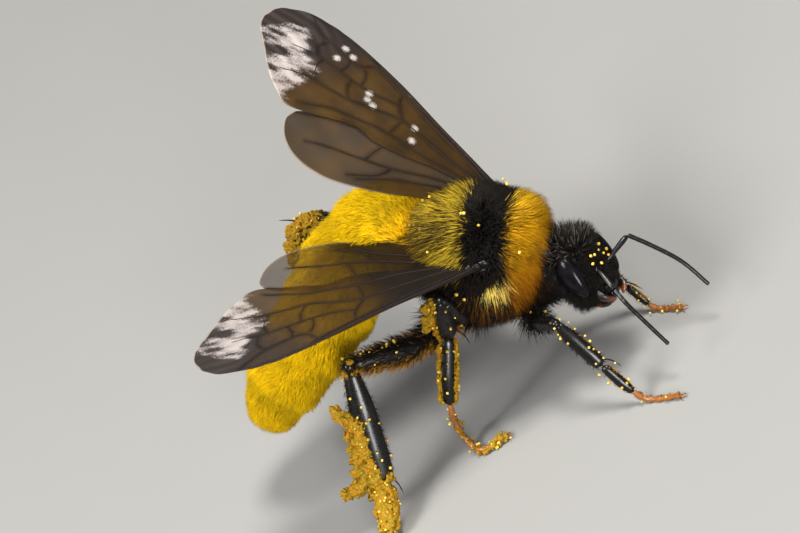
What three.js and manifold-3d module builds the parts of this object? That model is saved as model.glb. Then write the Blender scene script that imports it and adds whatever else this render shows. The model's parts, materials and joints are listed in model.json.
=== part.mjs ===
// A male bumblebee at its real size, standing still with its wings half spread and its abdomen curled.
// Millimetres. +X is ahead of the bee, +Y is to its left, +Z is up and the feet rest on Z = 0.
// The solids reach out to the tips of the coat, and wings, legs and feelers are kept at least half a
// millimetre thick.

import * as THREE from "three";
import { mergeVertices } from "three/addons/utils/BufferGeometryUtils.js";
import Module from "manifold-3d";

const wasm = await Module();
wasm.setup();

// Driving dimensions
const THORAX_RADIUS = 3.38; // across the coat, half of the whole
const STANCE_HEIGHT = 7.2; // centre of the thorax above the floor
const BODY_PITCH = THREE.MathUtils.degToRad(20); // how far the tail end is tipped up
const ABDOMEN_RADIUS = 2.18;
const HEAD_HALF_WIDTH = 1.9;
const HEAD_LENGTH = 3.6;
const FOREWING_LENGTH = 13.7;
const PLATE = 0.5; // thickness of a wing
const THIN_LIMB = 0.27; // least radius of a feeler or foot
const GAP = 0.05; // clear space between neighbouring solids

// The body has a frame of its own, with the thorax at its centre, and is tipped forward as one piece.
const bodyFrame = new THREE.Matrix4().makeRotationY(BODY_PITCH).setPosition(0, 0, STANCE_HEIGHT);
const onBody = (x, y, z) => new THREE.Vector3(x, y, z).applyMatrix4(bodyFrame);
const bodyWay = (x, y, z) => new THREE.Vector3(x, y, z).transformDirection(bodyFrame);
const onFloor = (x, y, z) => new THREE.Vector3(x, y, z);
const LEFT = new THREE.Vector3(0, 1, 0);
const AHEAD = new THREE.Vector3(1, 0, 0);

// Solids

function solidOf(geometry) {
  const bare = geometry.index ? geometry.toNonIndexed() : geometry.clone();
  bare.deleteAttribute("normal");
  bare.deleteAttribute("uv");
  const merged = mergeVertices(bare, 1e-4);
  const corners = Uint32Array.from(merged.index.array);
  const make = () =>
    new wasm.Manifold(
      new wasm.Mesh({ numProp: 3, vertProperties: merged.attributes.position.array, triVerts: corners }),
    );
  const solid = make();
  if (solid.volume() > 0) return solid;
  for (let i = 0; i < corners.length; i += 3) {
    [corners[i + 1], corners[i + 2]] = [corners[i + 2], corners[i + 1]];
  }
  return make();
}

function geometryOf(solid) {
  const mesh = solid.getMesh();
  return new THREE.BufferGeometry()
    .setAttribute("position", new THREE.BufferAttribute(Float32Array.from(mesh.vertProperties), 3))
    .setIndex(new THREE.BufferAttribute(Uint32Array.from(mesh.triVerts), 1));
}

const joined = (solids) => solids.reduce((whole, piece) => whole.add(piece));

const round = (t, across, up) => [across, up];
const pillow = (t, power) => Math.pow(Math.max(0, 1 - Math.pow(Math.abs(2 * t - 1), power)), 1 / power);

// A lathed shape drawn out along a path. radius(t) is its half width at the share t of the path, and
// section(t, across, up) reshapes the round section: across is along the side way, up is square to it.
// grow makes the whole shape fatter and longer by that much.
function along(path, spec, grow = 0) {
  const { radius, from = 0, to = 1, steps = 8, sides = 12, side = LEFT, section = round } = spec;
  const reach = grow / path.getLength();
  const profile = [new THREE.Vector2(0, from - reach)];
  for (let i = 0; i <= steps; i++) {
    const eased = from === 0 && to === 1 ? (1 - Math.cos((Math.PI * i) / steps)) / 2 : i / steps;
    const t = from - reach + (to - from + 2 * reach) * eased;
    const r = radius(THREE.MathUtils.clamp(t, 0, 1)) + grow;
    if (r > 1e-6) profile.push(new THREE.Vector2(r, t));
  }
  profile.push(new THREE.Vector2(0, to + reach));
  const lathe = new THREE.LatheGeometry(profile, sides);
  const place = lathe.attributes.position;
  for (let i = 0; i < place.count; i++) {
    const t = place.getY(i);
    const held = THREE.MathUtils.clamp(t, 0, 1);
    const way = path.getTangentAt(held);
    const across = side.clone().addScaledVector(way, -side.dot(way)).normalize();
    const up = across.clone().cross(way);
    const [a, b] = section(held, place.getX(i), place.getZ(i));
    const point = path.getPointAt(held).addScaledVector(way, (t - held) * path.getLength());
    point.addScaledVector(across, a).addScaledVector(up, b);
    place.setXYZ(i, point.x, point.y, point.z);
  }
  return solidOf(lathe);
}

const line = (a, b) => new THREE.LineCurve3(a, b);
const curve = (...points) => new THREE.CatmullRomCurve3(points, false, "centripetal");

function ball(centre, axes, radii, sides = 16) {
  const [a, b, c] = axes;
  const turn = new THREE.Matrix4().makeBasis(a, b, c);
  return (grow = 0) => {
    const geometry = new THREE.SphereGeometry(1, sides, Math.round(sides * 0.6));
    geometry.scale(radii[0] + grow, radii[1] + grow, radii[2] + grow);
    return solidOf(geometry.applyMatrix4(turn).translate(centre.x, centre.y, centre.z));
  };
}

// Every shape is kept as a function of how much it is grown, so that a neighbour can be cut clear of it.
const shapes = new Map();
const cuts = new Map();
function shape(name, maker, clearOf = []) {
  shapes.set(name, maker);
  cuts.set(name, clearOf);
}

// Thorax: three slices of one domed barrel
const thoraxPath = line(onBody(THORAX_RADIUS, 0, 0), onBody(-THORAX_RADIUS, 0, 0));
const thoraxSection = (t, across, up) => [across * 0.99, up * (up > 0 ? 0.98 : 0.93)];
const thoraxCuts = { prothorax: [0, 0.23], mesothorax: [0.23, 0.8], propodeum: [0.8, 1] };
const halfGapShare = GAP / 2 / thoraxPath.getLength();
for (const [name, [from, to]] of Object.entries(thoraxCuts)) {
  const spec = {
    radius: (t) => THORAX_RADIUS * pillow(t, 2.15),
    from: from && from + halfGapShare,
    to: to === 1 ? 1 : to - halfGapShare,
    steps: name === "mesothorax" ? 7 : 5,
    sides: 20,
    section: thoraxSection,
  };
  const clearOf = name === "mesothorax" ? ["tegula_left", "tegula_right"] : [];
  shape(name, (grow) => along(thoraxPath, spec, grow), clearOf);
}
const THORAX = Object.keys(thoraxCuts);

// Abdomen: seven rings on one bent path
const ABDOMEN_RINGS = 7;
const FULLEST = 0.38; // share of the abdomen's length where it is fattest
const abdomenPath = curve(
  onBody(-2.6, 0.8, 0.0),
  onBody(-4.25, 1.4, 0.3),
  onBody(-6.04, 0.87, -0.94),
  onBody(-7.5, -0.71, -2.89),
  onBody(-8.91, -2.11, -4.66),
  onBody(-9.99, -3.04, -6.12),
  onBody(-10.48, -3.74, -7.65),
);
function abdomenRadius(t) {
  if (t < FULLEST) return ABDOMEN_RADIUS * Math.sqrt(1 - ((FULLEST - t) / 0.5) ** 2);
  return ABDOMEN_RADIUS * Math.pow(1 - Math.pow((t - FULLEST) / (1 - FULLEST), 3), 0.45);
}
const ringEdge = (i) => (i === 0 ? 0 : 0.06 + 0.94 * Math.pow(i / ABDOMEN_RINGS, 0.93));
const gapShare = GAP / abdomenPath.getLength();
for (let i = 0; i < ABDOMEN_RINGS; i++) {
  const last = i === ABDOMEN_RINGS - 1;
  const spec = {
    radius: abdomenRadius,
    from: ringEdge(i) + (i ? gapShare / 2 : 0),
    to: last ? 1 : ringEdge(i + 1) - gapShare / 2,
    steps: last ? 6 : 3,
    sides: 20,
    section: (t, across, up) => [across * 1.1, up * 0.9],
  };
  const wings = ["hindwing_right", "forewing_right"];
  const near = i < 4 ? ["propodeum", "hindwing_left", ...wings] : wings;
  const before = i ? [`abdomen_ring_${i}`] : [];
  shape(`abdomen_ring_${i + 1}`, (grow) => along(abdomenPath, spec, grow), [...near, ...before]);
}
const ABDOMEN = Array.from({ length: ABDOMEN_RINGS }, (_, i) => `abdomen_ring_${i + 1}`);

// Head: it hangs from the front of the thorax, turned a little to the right
const headTurn = new THREE.Matrix4()
  .makeRotationZ(THREE.MathUtils.degToRad(-10))
  .multiply(new THREE.Matrix4().makeRotationY(THREE.MathUtils.degToRad(-43)))
  .multiply(new THREE.Matrix4().makeRotationX(THREE.MathUtils.degToRad(-18)));
const headCentre = new THREE.Vector3(4.68, -0.25, -0.78);
const headWay = (face, left, down) =>
  new THREE.Vector3(face, left, -down).applyMatrix4(headTurn).transformDirection(bodyFrame);
const onHead = (face, left, down) =>
  new THREE.Vector3(face, left, -down).applyMatrix4(headTurn).add(headCentre).applyMatrix4(bodyFrame);
const faceWay = headWay(1, 0, 0);
const headLeft = headWay(0, 1, 0);
const downFace = headWay(0, 0, 1);
const headAxes = [faceWay, headLeft, downFace.clone().negate()];

const headSpec = {
  radius: (t) => HEAD_HALF_WIDTH * pillow(Math.pow(t, 1.06), 2.5) * (1 - 0.22 * t * t),
  steps: 9,
  sides: 18,
  side: headLeft,
  section: (t, across, up) => [across, up * (up > 0 ? 0.52 : 0.6)],
};
const headPath = line(onHead(0, 0, -0.52 * HEAD_LENGTH), onHead(0.1, 0, 0.48 * HEAD_LENGTH));
const SIDES = { left: 1, right: -1 };
shape("head", (grow) => along(headPath, headSpec, grow), [
  "clypeus",
  "eye_left",
  "eye_right",
  ...THORAX,
]);
shape("clypeus", ball(onHead(0.76, 0, 1.12), headAxes, [0.4, 0.8, 0.62], 12));
shape(
  "proboscis",
  (grow) =>
    along(
      curve(onHead(0.3, 0, 1.5), onHead(0.15, 0, 2.05), onHead(-0.5, 0, 2.1), onHead(-1.05, 0, 1.6)),
      { radius: (t) => 0.34 * pillow(t, 5), steps: 7, sides: 7, side: headLeft },
      grow,
    ),
  ["head", "clypeus", "mandible_left", "mandible_right", ...THORAX],
);
const EYE = [0.58, 0.36, 1.12]; // half sizes: across the face, out from the head, up and down
const SCAPE_ENDS = { left: [1.7, 1.62, 0.02], right: [1.33, -0.85, 1.53] };
const FEELER_BENDS = {
  left: [[2.15, 1.9, 0.95], [2.75, 2.25, 2.4], [3.0, 2.5, 4.0]],
  right: [[1.6, -1.05, 2.4], [1.8, -1.0, 3.6], [2.0, -0.91, 4.9]],
};
for (const [name, s] of Object.entries(SIDES)) {
  const other = name === "left" ? [] : ["mandible_left"];
  shape(`eye_${name}`, ball(onHead(0.08, s * 1.5, -0.08), headAxes, EYE, 12));
  shape(
    `mandible_${name}`,
    (grow) =>
      along(
        curve(onHead(0.3, s * 0.85, 1.15), onHead(0.5, s * 0.76, 1.7), onHead(0.62, s * 0.27, 2.02)),
        { radius: (t) => 0.34 * pillow(0.08 + 0.92 * t, 4), steps: 6, sides: 8, side: faceWay },
        grow,
      ),
    ["head", "clypeus", ...other],
  );
  const scapeTip = onHead(...SCAPE_ENDS[name]);
  shape(
    `antenna_scape_${name}`,
    (grow) =>
      along(
        line(onHead(0.72, s * 0.42, 0.35), scapeTip),
        { radius: (t) => THIN_LIMB * pillow(t, 6), steps: 5, sides: 8 },
        grow,
      ),
    ["head", "clypeus"],
  );
  const bends = FEELER_BENDS[name].map((bend) => onHead(...bend));
  shape(
    `antenna_flagellum_${name}`,
    (grow) =>
      along(
        curve(scapeTip, ...bends),
        { radius: (t) => THIN_LIMB * pillow(t, 9), steps: 9, sides: 7 },
        grow,
      ),
    [`antenna_scape_${name}`, "head", "clypeus", `mandible_${name}`],
  );
}

// Wings: flat outlines given as shares of the forewing's length, along it and back from its front edge
const FOREWING = [
  [0.12, -0.008], [0.3, -0.012], [0.5, -0.024], [0.7, -0.024], [0.82, -0.006], [0.91, 0.03],
  [0.965, 0.085], [0.978, 0.145], [0.952, 0.205], [0.875, 0.265], [0.79, 0.328], [0.72, 0.362],
  [0.648, 0.378], [0.53, 0.298],
  [0.452, 0.242], [0.371, 0.233], [0.28, 0.192], [0.166, 0.124], [0, 0.045],
];
const HINDWING = [
  [0.166, 0.139], [0.28, 0.207], [0.371, 0.248], [0.452, 0.258], [0.53, 0.314], [0.59, 0.362],
  [0.615, 0.39], [0.612, 0.425], [0.57, 0.473], [0.52, 0.5], [0.47, 0.508], [0.42, 0.502],
  [0.355, 0.478], [0.285, 0.43],
  [0.2, 0.352], [0.1, 0.235], [0.02, 0.12],
];
const WING_ROOT = new THREE.Vector3(0.6, 2.6, 1.35);
// Degrees: how far the wing is swept from the body's axis, how far it is raised, how far it is rolled
const WING_POSES = { left: [36.6, 23.5, -12.7], right: [37.5, 2, -6.3] };
function wingAxes(name) {
  const s = SIDES[name];
  const [sweep, raise, roll] = WING_POSES[name].map(THREE.MathUtils.degToRad);
  const out = new THREE.Vector3(
    -Math.cos(sweep) * Math.cos(raise),
    s * Math.sin(sweep) * Math.cos(raise),
    Math.sin(raise),
  );
  const up = new THREE.Vector3(0, 0, 1).addScaledVector(out, -out.z).normalize();
  const back = up.clone().cross(out).multiplyScalar(s);
  const tilted = up.clone().multiplyScalar(Math.cos(roll)).addScaledVector(back, s * Math.sin(roll));
  return [out, tilted.clone().cross(out).multiplyScalar(s), tilted];
}
function wing(name, outline, start) {
  const [out, back, up] = wingAxes(name);
  const points = [start, ...outline].map(([a, b]) =>
    new THREE.Vector2(a, b).multiplyScalar(FOREWING_LENGTH),
  );
  const root = WING_ROOT.clone().setY(WING_ROOT.y * SIDES[name]);
  const place = new THREE.Matrix4().makeBasis(out, back, up).setPosition(root).premultiply(bodyFrame);
  return (grow) => {
    const edge = new THREE.SplineCurve([...points, points[0]]);
    const drawn = new THREE.Shape().setFromPoints(edge.getPoints(40));
    const grown = PLATE + 2 * grow;
    const plate = new THREE.ExtrudeGeometry(drawn, { depth: grown, bevelEnabled: false, steps: 1 });
    return solidOf(plate.translate(0, 0, -grown / 2).applyMatrix4(place));
  };
}
for (const [name, s] of Object.entries(SIDES)) {
  const tegulas = [`tegula_${name}`];
  shape(`forewing_${name}`, wing(name, FOREWING, [0, 0]), [...THORAX, ...tegulas]);
  shape(`hindwing_${name}`, wing(name, HINDWING, [0.0, 0.07]), [
    ...THORAX,
    ...tegulas,
    `forewing_${name}`,
  ]);
  const seat = onBody(0.75, s * 2.75, 1.75);
  const outWay = bodyWay(0, s * 0.85, 0.53);
  const across = AHEAD.clone().addScaledVector(outWay, -AHEAD.dot(outWay)).normalize();
  const axes = [across, outWay.clone().cross(across), outWay];
  shape(`tegula_${name}`, ball(seat, axes, [0.62, 0.5, 0.3], 10));
}

// Legs: joints from the hip to the claws, in floor coordinates
const TOE = 0.22; // height of the axis of a foot that lies on the floor
const LEGS = {
  front_right: {
    hip: [0.9, -0.9, 4.1], bend: [1.2, -1.7, 3.9], knee: [2.9, -3.2, 4.5], ankle: [4.2, -4.1, 2.2],
    foot: [[4.9, -4.5, 0.95], [5.5, -4.7, TOE], [7.3, -5.1, TOE]],
    thigh: 0.45, shin: [0.4, 0.36], heel: 0.33,
  },
  front_left: {
    hip: [0.9, 0.9, 4.1], bend: [1.3, 1.6, 3.7], knee: [3.0, 2.1, 3.5], ankle: [4.1, 1.9, 1.5],
    foot: [[4.6, 1.6, 0.7], [5.0, 1.4, TOE], [6.5, 0.9, TOE]],
    thigh: 0.45, shin: [0.4, 0.36], heel: 0.33,
  },
  mid_right: {
    hip: [-1.0, -1.2, 5.0], bend: [-1.2, -2.3, 5.6], knee: [-1.35, -3.3, 7.75],
    ankle: [-2.2, -2.95, 5.45],
    foot: [[-3.3, -4.5, 2.7], [-3.65, -4.5, 0.6], [-2.85, -5.15, TOE], [-1.6, -4.6, TOE]],
    thigh: 0.5, shin: [0.46, 0.42], heel: 0.4,
  },
  mid_left: {
    hip: [-1.0, 1.3, 4.5], bend: [-1.2, 2.2, 4.5], knee: [-1.5, 4.0, 7.0], ankle: [-2.9, 5.3, 4.2],
    foot: [[-4.0, 6.5, 1.4], [-4.4, 7.1, TOE], [-5.1, 9.0, TOE]],
    thigh: 0.5, shin: [0.46, 0.42], heel: 0.4,
  },
  hind_right: {
    hip: [-2.8, -1.3, 5.4], bend: [-3.4, -2.4, 5.1], knee: [-6.3, -4.85, 6.65],
    ankle: [-6.75, -7.45, 1.65],
    foot: [[-6.7, -8.9, 0.9], [-6.7, -10.2, TOE], [-6.3, -12.5, TOE]],
    thigh: 0.55, shin: [0.7, 0.42], heel: 0.5,
  },
  hind_left: {
    hip: [-2.8, 1.3, 5.4], bend: [-3.3, 2.4, 5.3], knee: [-5.4, 4.6, 7.1], ankle: [-10.1, 4.3, 8.2],
    foot: [[-11.3, 4.1, 5.7], [-11.7, 4.3, 4.6], [-11.7, 4.7, 3.1]],
    thigh: 0.55, shin: [0.7, 0.42], heel: 0.5,
  },
};
const CLAW_SPREAD = 0.22;
for (const [name, leg] of Object.entries(LEGS)) {
  const [hip, bend, knee, ankle] = [leg.hip, leg.bend, leg.knee, leg.ankle].map((at) => onFloor(...at));
  const foot = leg.foot.map((at) => onFloor(...at));
  const kneeTuck = knee.clone().lerp(bend, 0.04);
  const thighSpec = {
    radius: (t) => leg.thigh * pillow(t, 5) * (1 - 0.3 * t * t),
    steps: 7,
    sides: 8,
    side: AHEAD,
  };
  const near = name.startsWith("hind") ? ["abdomen_ring_1", "abdomen_ring_2", "abdomen_ring_3"] : [];
  const headNear = name.startsWith("front") ? ["head", "proboscis"] : [];
  shape(`leg_${name}_femur`, (grow) => along(curve(hip, bend, kneeTuck), thighSpec, grow), [
    ...THORAX,
    ...near,
    ...headNear,
  ]);
  const [broad, deep] = leg.shin;
  const shinSpec = {
    radius: (t) => broad * pillow(t, 5) * (0.62 + 0.38 * Math.sin(Math.PI * (0.15 + 0.6 * t))),
    steps: 7,
    sides: 8,
    side: AHEAD,
    section: (t, across, up) => [across, (up * deep) / broad],
  };
  shape(`leg_${name}_tibia`, (grow) => along(line(knee, ankle), shinSpec, grow), [
    `leg_${name}_femur`,
    ...THORAX,
    ...near,
  ]);
  const footPath = curve(ankle, ...foot);
  const heelShare = 0.42;
  const footSpec = {
    radius: (t) => {
      const taper = THREE.MathUtils.smoothstep(t, heelShare - 0.08, heelShare + 0.05);
      return THREE.MathUtils.lerp(leg.heel, THIN_LIMB, taper) * pillow(0.02 + 0.98 * t, 10);
    },
    steps: 10,
    sides: 7,
    side: AHEAD,
  };
  const tip = foot.at(-1);
  const heading = footPath.getTangentAt(1);
  const spread = heading.clone().cross(new THREE.Vector3(0, 0, 1)).normalize();
  const claws = (grow) =>
    [-1, 1].map((s) => {
      const root = tip.clone().addScaledVector(heading, -0.25).addScaledVector(spread, s * 0.06);
      const point = tip.clone().addScaledVector(heading, 0.22).addScaledVector(spread, s * CLAW_SPREAD);
      return along(line(root, point), { radius: (t) => 0.24 * pillow(t, 3), steps: 3, sides: 5 }, grow);
    });
  shape(
    `leg_${name}_tarsus`,
    (grow) => joined([along(footPath, footSpec, grow), ...claws(grow)]),
    [`leg_${name}_tibia`],
  );
}

const floor = solidOf(new THREE.BoxGeometry(60, 60, 4).translate(0, 0, -2));

// Colours, roughness and the nodes that wear them
const finish = (color, roughness, metalness = 0) =>
  new THREE.MeshStandardMaterial({ color, roughness, metalness });
const finishes = {
  yellowFur: finish(0xd9a514, 0.9),
  yellowTail: finish(0xf0c800, 0.9),
  blackFur: finish(0x14110f, 0.85),
  shell: finish(0x17120f, 0.35),
  eye: finish(0x14161c, 0.25),
  wing: finish(0x3a2c1c, 0.3),
  amber: finish(0x6b3514, 0.45),
};
const finishRules = [
  [/^prothorax|^propodeum/, "yellowFur"],
  [/^abdomen/, "yellowTail"],
  [/^mesothorax|^head/, "blackFur"],
  [/^eye/, "eye"],
  [/wing_/, "wing"],
  [/^mandible|^proboscis/, "amber"],
];
const finishFor = (name) => finishes[(finishRules.find(([rule]) => rule.test(name)) ?? [0, "shell"])[1]];

const bee = new THREE.Group();
const bounds = new THREE.Box3();
for (const [name, maker] of shapes) {
  let solid = maker(0);
  const clearOf = cuts.get(name);
  if (clearOf.length) solid = solid.subtract(joined(clearOf.map((other) => shapes.get(other)(GAP))));
  if (name.endsWith("tarsus")) solid = solid.subtract(floor);
  const pieces = solid.decompose().sort((a, b) => b.volume() - a.volume());
  const mesh = new THREE.Mesh(geometryOf(pieces[0]), finishFor(name));
  mesh.name = name;
  bounds.expandByObject(mesh);
  bee.add(mesh);
}

// The origin is under the middle of the whole bee, on the floor.
const middle = bounds.getCenter(new THREE.Vector3());
bee.position.set(-middle.x, -middle.y, -bounds.min.z);
const part = new THREE.Group();
part.add(bee);

export default part;
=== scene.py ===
"""A life-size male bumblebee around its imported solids: skin, coat, head, legs, wings, pollen and stage."""

import json
import math

import bpy
import numpy as np
from bpy.props import FloatProperty, FloatVectorProperty, PointerProperty
from bpy.types import Operator, Panel, PropertyGroup
from mathutils import Matrix, Vector
from mathutils.kdtree import KDTree

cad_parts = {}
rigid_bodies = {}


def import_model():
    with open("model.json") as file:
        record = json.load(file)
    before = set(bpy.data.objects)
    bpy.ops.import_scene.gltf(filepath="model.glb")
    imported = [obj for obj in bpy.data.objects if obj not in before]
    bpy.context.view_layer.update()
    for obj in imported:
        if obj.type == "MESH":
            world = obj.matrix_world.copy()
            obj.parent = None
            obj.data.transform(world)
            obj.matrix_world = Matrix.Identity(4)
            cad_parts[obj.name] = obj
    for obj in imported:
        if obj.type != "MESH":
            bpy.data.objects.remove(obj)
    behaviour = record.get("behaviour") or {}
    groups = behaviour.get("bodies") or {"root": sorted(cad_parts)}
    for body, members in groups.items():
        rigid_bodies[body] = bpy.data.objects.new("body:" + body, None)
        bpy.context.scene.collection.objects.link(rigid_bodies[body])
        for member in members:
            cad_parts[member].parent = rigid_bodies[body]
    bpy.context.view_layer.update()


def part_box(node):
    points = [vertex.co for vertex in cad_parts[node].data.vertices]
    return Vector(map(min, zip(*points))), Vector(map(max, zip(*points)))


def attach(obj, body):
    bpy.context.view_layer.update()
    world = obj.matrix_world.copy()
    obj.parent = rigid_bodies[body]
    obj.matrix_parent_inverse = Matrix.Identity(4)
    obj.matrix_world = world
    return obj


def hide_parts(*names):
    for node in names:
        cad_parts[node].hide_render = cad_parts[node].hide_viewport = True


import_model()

bl_info = {
    "name": "Bumblebee",
    "version": (1, 0, 0),
    "blender": (4, 5, 0),
    "location": "View3D > Sidebar > Bumblebee",
    "description": "Models a life-size male bumblebee around its solids",
    "category": "Object",
}

MM = 0.001  # pieces are modelled in millimetres and settled in metres
SIDES = {"left": 1, "right": -1}

# The body's own frame: the thorax is at its centre, x ahead, y left, z up the back
BODY_PITCH = math.radians(20)
WING_CAP = Vector((0.75, 0, 1.75))  # middle between the two wing caps, in the body's frame
ABDOMEN_BENDS = (
    (-2.3, 0.1, -0.75), (-4.25, 1.45, 0.38), (-6.04, 0.87, -0.94), (-7.5, -0.71, -2.89),
    (-8.91, -2.11, -4.66), (-9.99, -3.04, -6.12), (-10.39, -3.61, -7.36),
)
ABDOMEN_RADIUS = 1.76  # of the bare skin
ABDOMEN_SECTION = (1.1, 0.9)  # how much wider and lower than round
ABDOMEN_REACH = ABDOMEN_RADIUS * 1.35  # places farther than this from its middle line are not on it
ABDOMEN_FRONT = -1.2  # nor are places ahead of this
ABDOMEN_RINGS = 7
FULLEST = 0.38  # share of the abdomen's length where it is fattest
THORAX_RADII = (2.52, 2.52, 2.45)  # of the bare skin

# The head's own frame: x out of the face, y left, z up the face
HEAD_CENTRE = (4.68, -0.25, -0.78)
HEAD_TURNS = (("Z", -10), ("Y", -43), ("X", -18))  # degrees
HEAD_SPAN = (1.35, 1.95, 2.0)  # half widths of the space that is the head's
EYE_CENTRE = (0.1, 1.29, 0.0)
EYE_RADII = (0.56, 0.36, 1.06)
SOCKET = (0.8, 0.42, -0.35)  # of the left feeler
SOCKET_DEPTH = (0.6, 0.42, -0.33)
SCAPE_TIPS = {"left": (1.7, 1.62, -0.02), "right": (1.33, -0.85, -1.53)}
FEELER_BENDS = {
    "left": ((2.15, 1.9, -0.95), (2.75, 2.25, -2.4), (3.0, 2.5, -4.0)),
    "right": ((1.6, -1.05, -2.4), (1.8, -1.0, -3.6), (2.0, -0.91, -4.9)),
}
FEELER_JOINTS = 11
WHIP_WIDTH = 0.108  # half width
SCAPE_WIDTHS = ((0, 0.07), (0.2, 0.085), (0.35, 0.11), (0.8, 0.14), (1, 0.11))  # half widths along the scape
OCELLI = ((0.42, 0, 1.12), (0.27, 0.3, 1.27), (0.27, -0.3, 1.27))
OCELLUS_RADIUS = 0.12
FACE_PLATE = ((0.5, 0, -1.24), (0.34, 0.52, 0.36))
LIP = ((0.52, 0, -1.62), (0.14, 0.32, 0.2))
JAW_WIDTHS = ((0, 0.2), (0.4, 0.23), (0.8, 0.16), (1, 0.07))
TONGUE_STRANDS = ((0.15, 0.16), (-0.15, 0.16), (0, 0.13))  # how far left, and half width

# Wings: outlines as shares of the forewing's length, along it and back from its front edge
FOREWING_LENGTH = 13.7
WING_ROOT = (0.6, 2.6, 1.35)
WING_POSES = {"left": (36.6, 23.5, -12.7), "right": (37.5, 2, -6.3)}  # degrees swept, raised and rolled
FOREWING = (
    (0, 0), (0.12, -0.008), (0.3, -0.012), (0.5, -0.024), (0.7, -0.024), (0.82, -0.006), (0.91, 0.03),
    (0.965, 0.085), (0.978, 0.145), (0.952, 0.205), (0.875, 0.265), (0.79, 0.328), (0.72, 0.362),
    (0.648, 0.378), (0.53, 0.298), (0.452, 0.242), (0.371, 0.233), (0.28, 0.192), (0.166, 0.124),
    (0, 0.045),
)
HINDWING = (
    (0, 0.06), (0.16, 0.105), (0.28, 0.172), (0.371, 0.212), (0.452, 0.222), (0.53, 0.275), (0.6, 0.345),
    (0.62, 0.385), (0.612, 0.425), (0.57, 0.473), (0.52, 0.5), (0.47, 0.508), (0.42, 0.502),
    (0.355, 0.478), (0.285, 0.43), (0.2, 0.352), (0.1, 0.235), (0.02, 0.12),
)
# Each vein: its half width at the root end and at the far end, in millimetres, and its bends on the wing
FOREWING_VEINS = (
    (0.1, 0.06, ((0.0, 0.012), (0.15, 0.0), (0.35, -0.006), (0.5, -0.017), (0.6, -0.018))),
    (0.05, 0.022, ((0.6, -0.018), (0.7, -0.019), (0.8, -0.007), (0.88, 0.02))),
    (0.065, 0.045, ((0.0, 0.025), (0.15, 0.016), (0.35, 0.01), (0.5, 0.002), (0.6, -0.006))),
    (0.035, 0.024, ((0.46, 0.008), (0.445, 0.04), (0.385, 0.09))),
    (0.055, 0.024, (
        (0.01, 0.035), (0.15, 0.062), (0.3, 0.08), (0.385, 0.09), (0.47, 0.135), (0.55, 0.185), (0.61, 0.205),
        (0.71, 0.24), (0.79, 0.29),
    )),
    (0.024, 0.02, ((0.385, 0.09), (0.37, 0.172))),
    (0.045, 0.02, (
        (0.02, 0.05), (0.13, 0.095), (0.25, 0.142), (0.37, 0.172), (0.46, 0.212), (0.55, 0.26), (0.64, 0.34),
    )),
    (0.034, 0.022, (
        (0.435, 0.05), (0.5, 0.085), (0.565, 0.105), (0.65, 0.12), (0.745, 0.138), (0.84, 0.175),
    )),
    (0.03, 0.02, ((0.605, 0.0), (0.628, 0.042), (0.70, 0.056), (0.79, 0.052), (0.85, 0.034), (0.878, 0.02))),
    (0.024, 0.02, ((0.61, 0.04), (0.585, 0.065), (0.568, 0.105))),
    (0.024, 0.018, ((0.668, 0.052), (0.655, 0.085), (0.655, 0.12))),
    (0.024, 0.018, ((0.765, 0.056), (0.775, 0.1), (0.748, 0.138))),
    (0.024, 0.018, ((0.605, 0.113), (0.59, 0.15), (0.552, 0.185))),
    (0.024, 0.018, ((0.72, 0.132), (0.715, 0.175), (0.672, 0.222))),
)
HINDWING_VEINS = (
    (0.075, 0.045, ((0.01, 0.07), (0.16, 0.12), (0.28, 0.19), (0.371, 0.232), (0.452, 0.243))),
    (0.045, 0.022, ((0.452, 0.243), (0.53, 0.298), (0.612, 0.37))),
    (0.042, 0.02, ((0.02, 0.08), (0.14, 0.155), (0.26, 0.262), (0.34, 0.318), (0.43, 0.372), (0.51, 0.43))),
    (0.026, 0.02, ((0.345, 0.225), (0.345, 0.27), (0.34, 0.318))),
    (0.026, 0.016, ((0.26, 0.262), (0.27, 0.325), (0.33, 0.41))),
    (0.036, 0.018, ((0.04, 0.1), (0.15, 0.21), (0.24, 0.31), (0.3, 0.4))),
)

# Outline, veins, and the columns and rows of the grid of each wing
WINGS = {"forewing": (FOREWING, FOREWING_VEINS, (150, 90)), "hindwing": (HINDWING, HINDWING_VEINS, (90, 60))}
STIGMA = (0.612, -0.012)  # the thick spot on a forewing's front edge
STIGMA_RADII = (0.36, 0.1, 0.06)

# Bare lumps over the left wings' root, as centre and radii in the body's frame: leaning cap and knuckles
CAP = ((0.66, 2.44, 1.46), (0.3, 0.17, 0.22))
CAP_LEAN = math.radians(32)
KNUCKLES = (
    ((0.3, 2.5, 1.36), (0.3, 0.2, 0.15)),
    ((0.0, 2.6, 1.36), (0.22, 0.2, 0.14)),
    ((0.5, 2.4, 1.1), (0.34, 0.24, 0.2)),
)

# Small silvery painted highlights (glints) on the left forewing away from its margin, and how far each
# reaches
GLINTS = (
    (0.702, 0.086), (0.714, 0.03), (0.672, 0.036), (0.53, 0.104), (0.515, 0.128), (0.486, 0.131),
    (0.338, 0.076), (0.306, 0.123),
)
GLINT_REACH = 0.02

# How clear each wing is between its veins, by side and by whether it is a hindwing
CLEARNESS = {("left", False): 0.0, ("right", False): 0.55, ("left", True): 0.45, ("right", True): 1.4}

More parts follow.
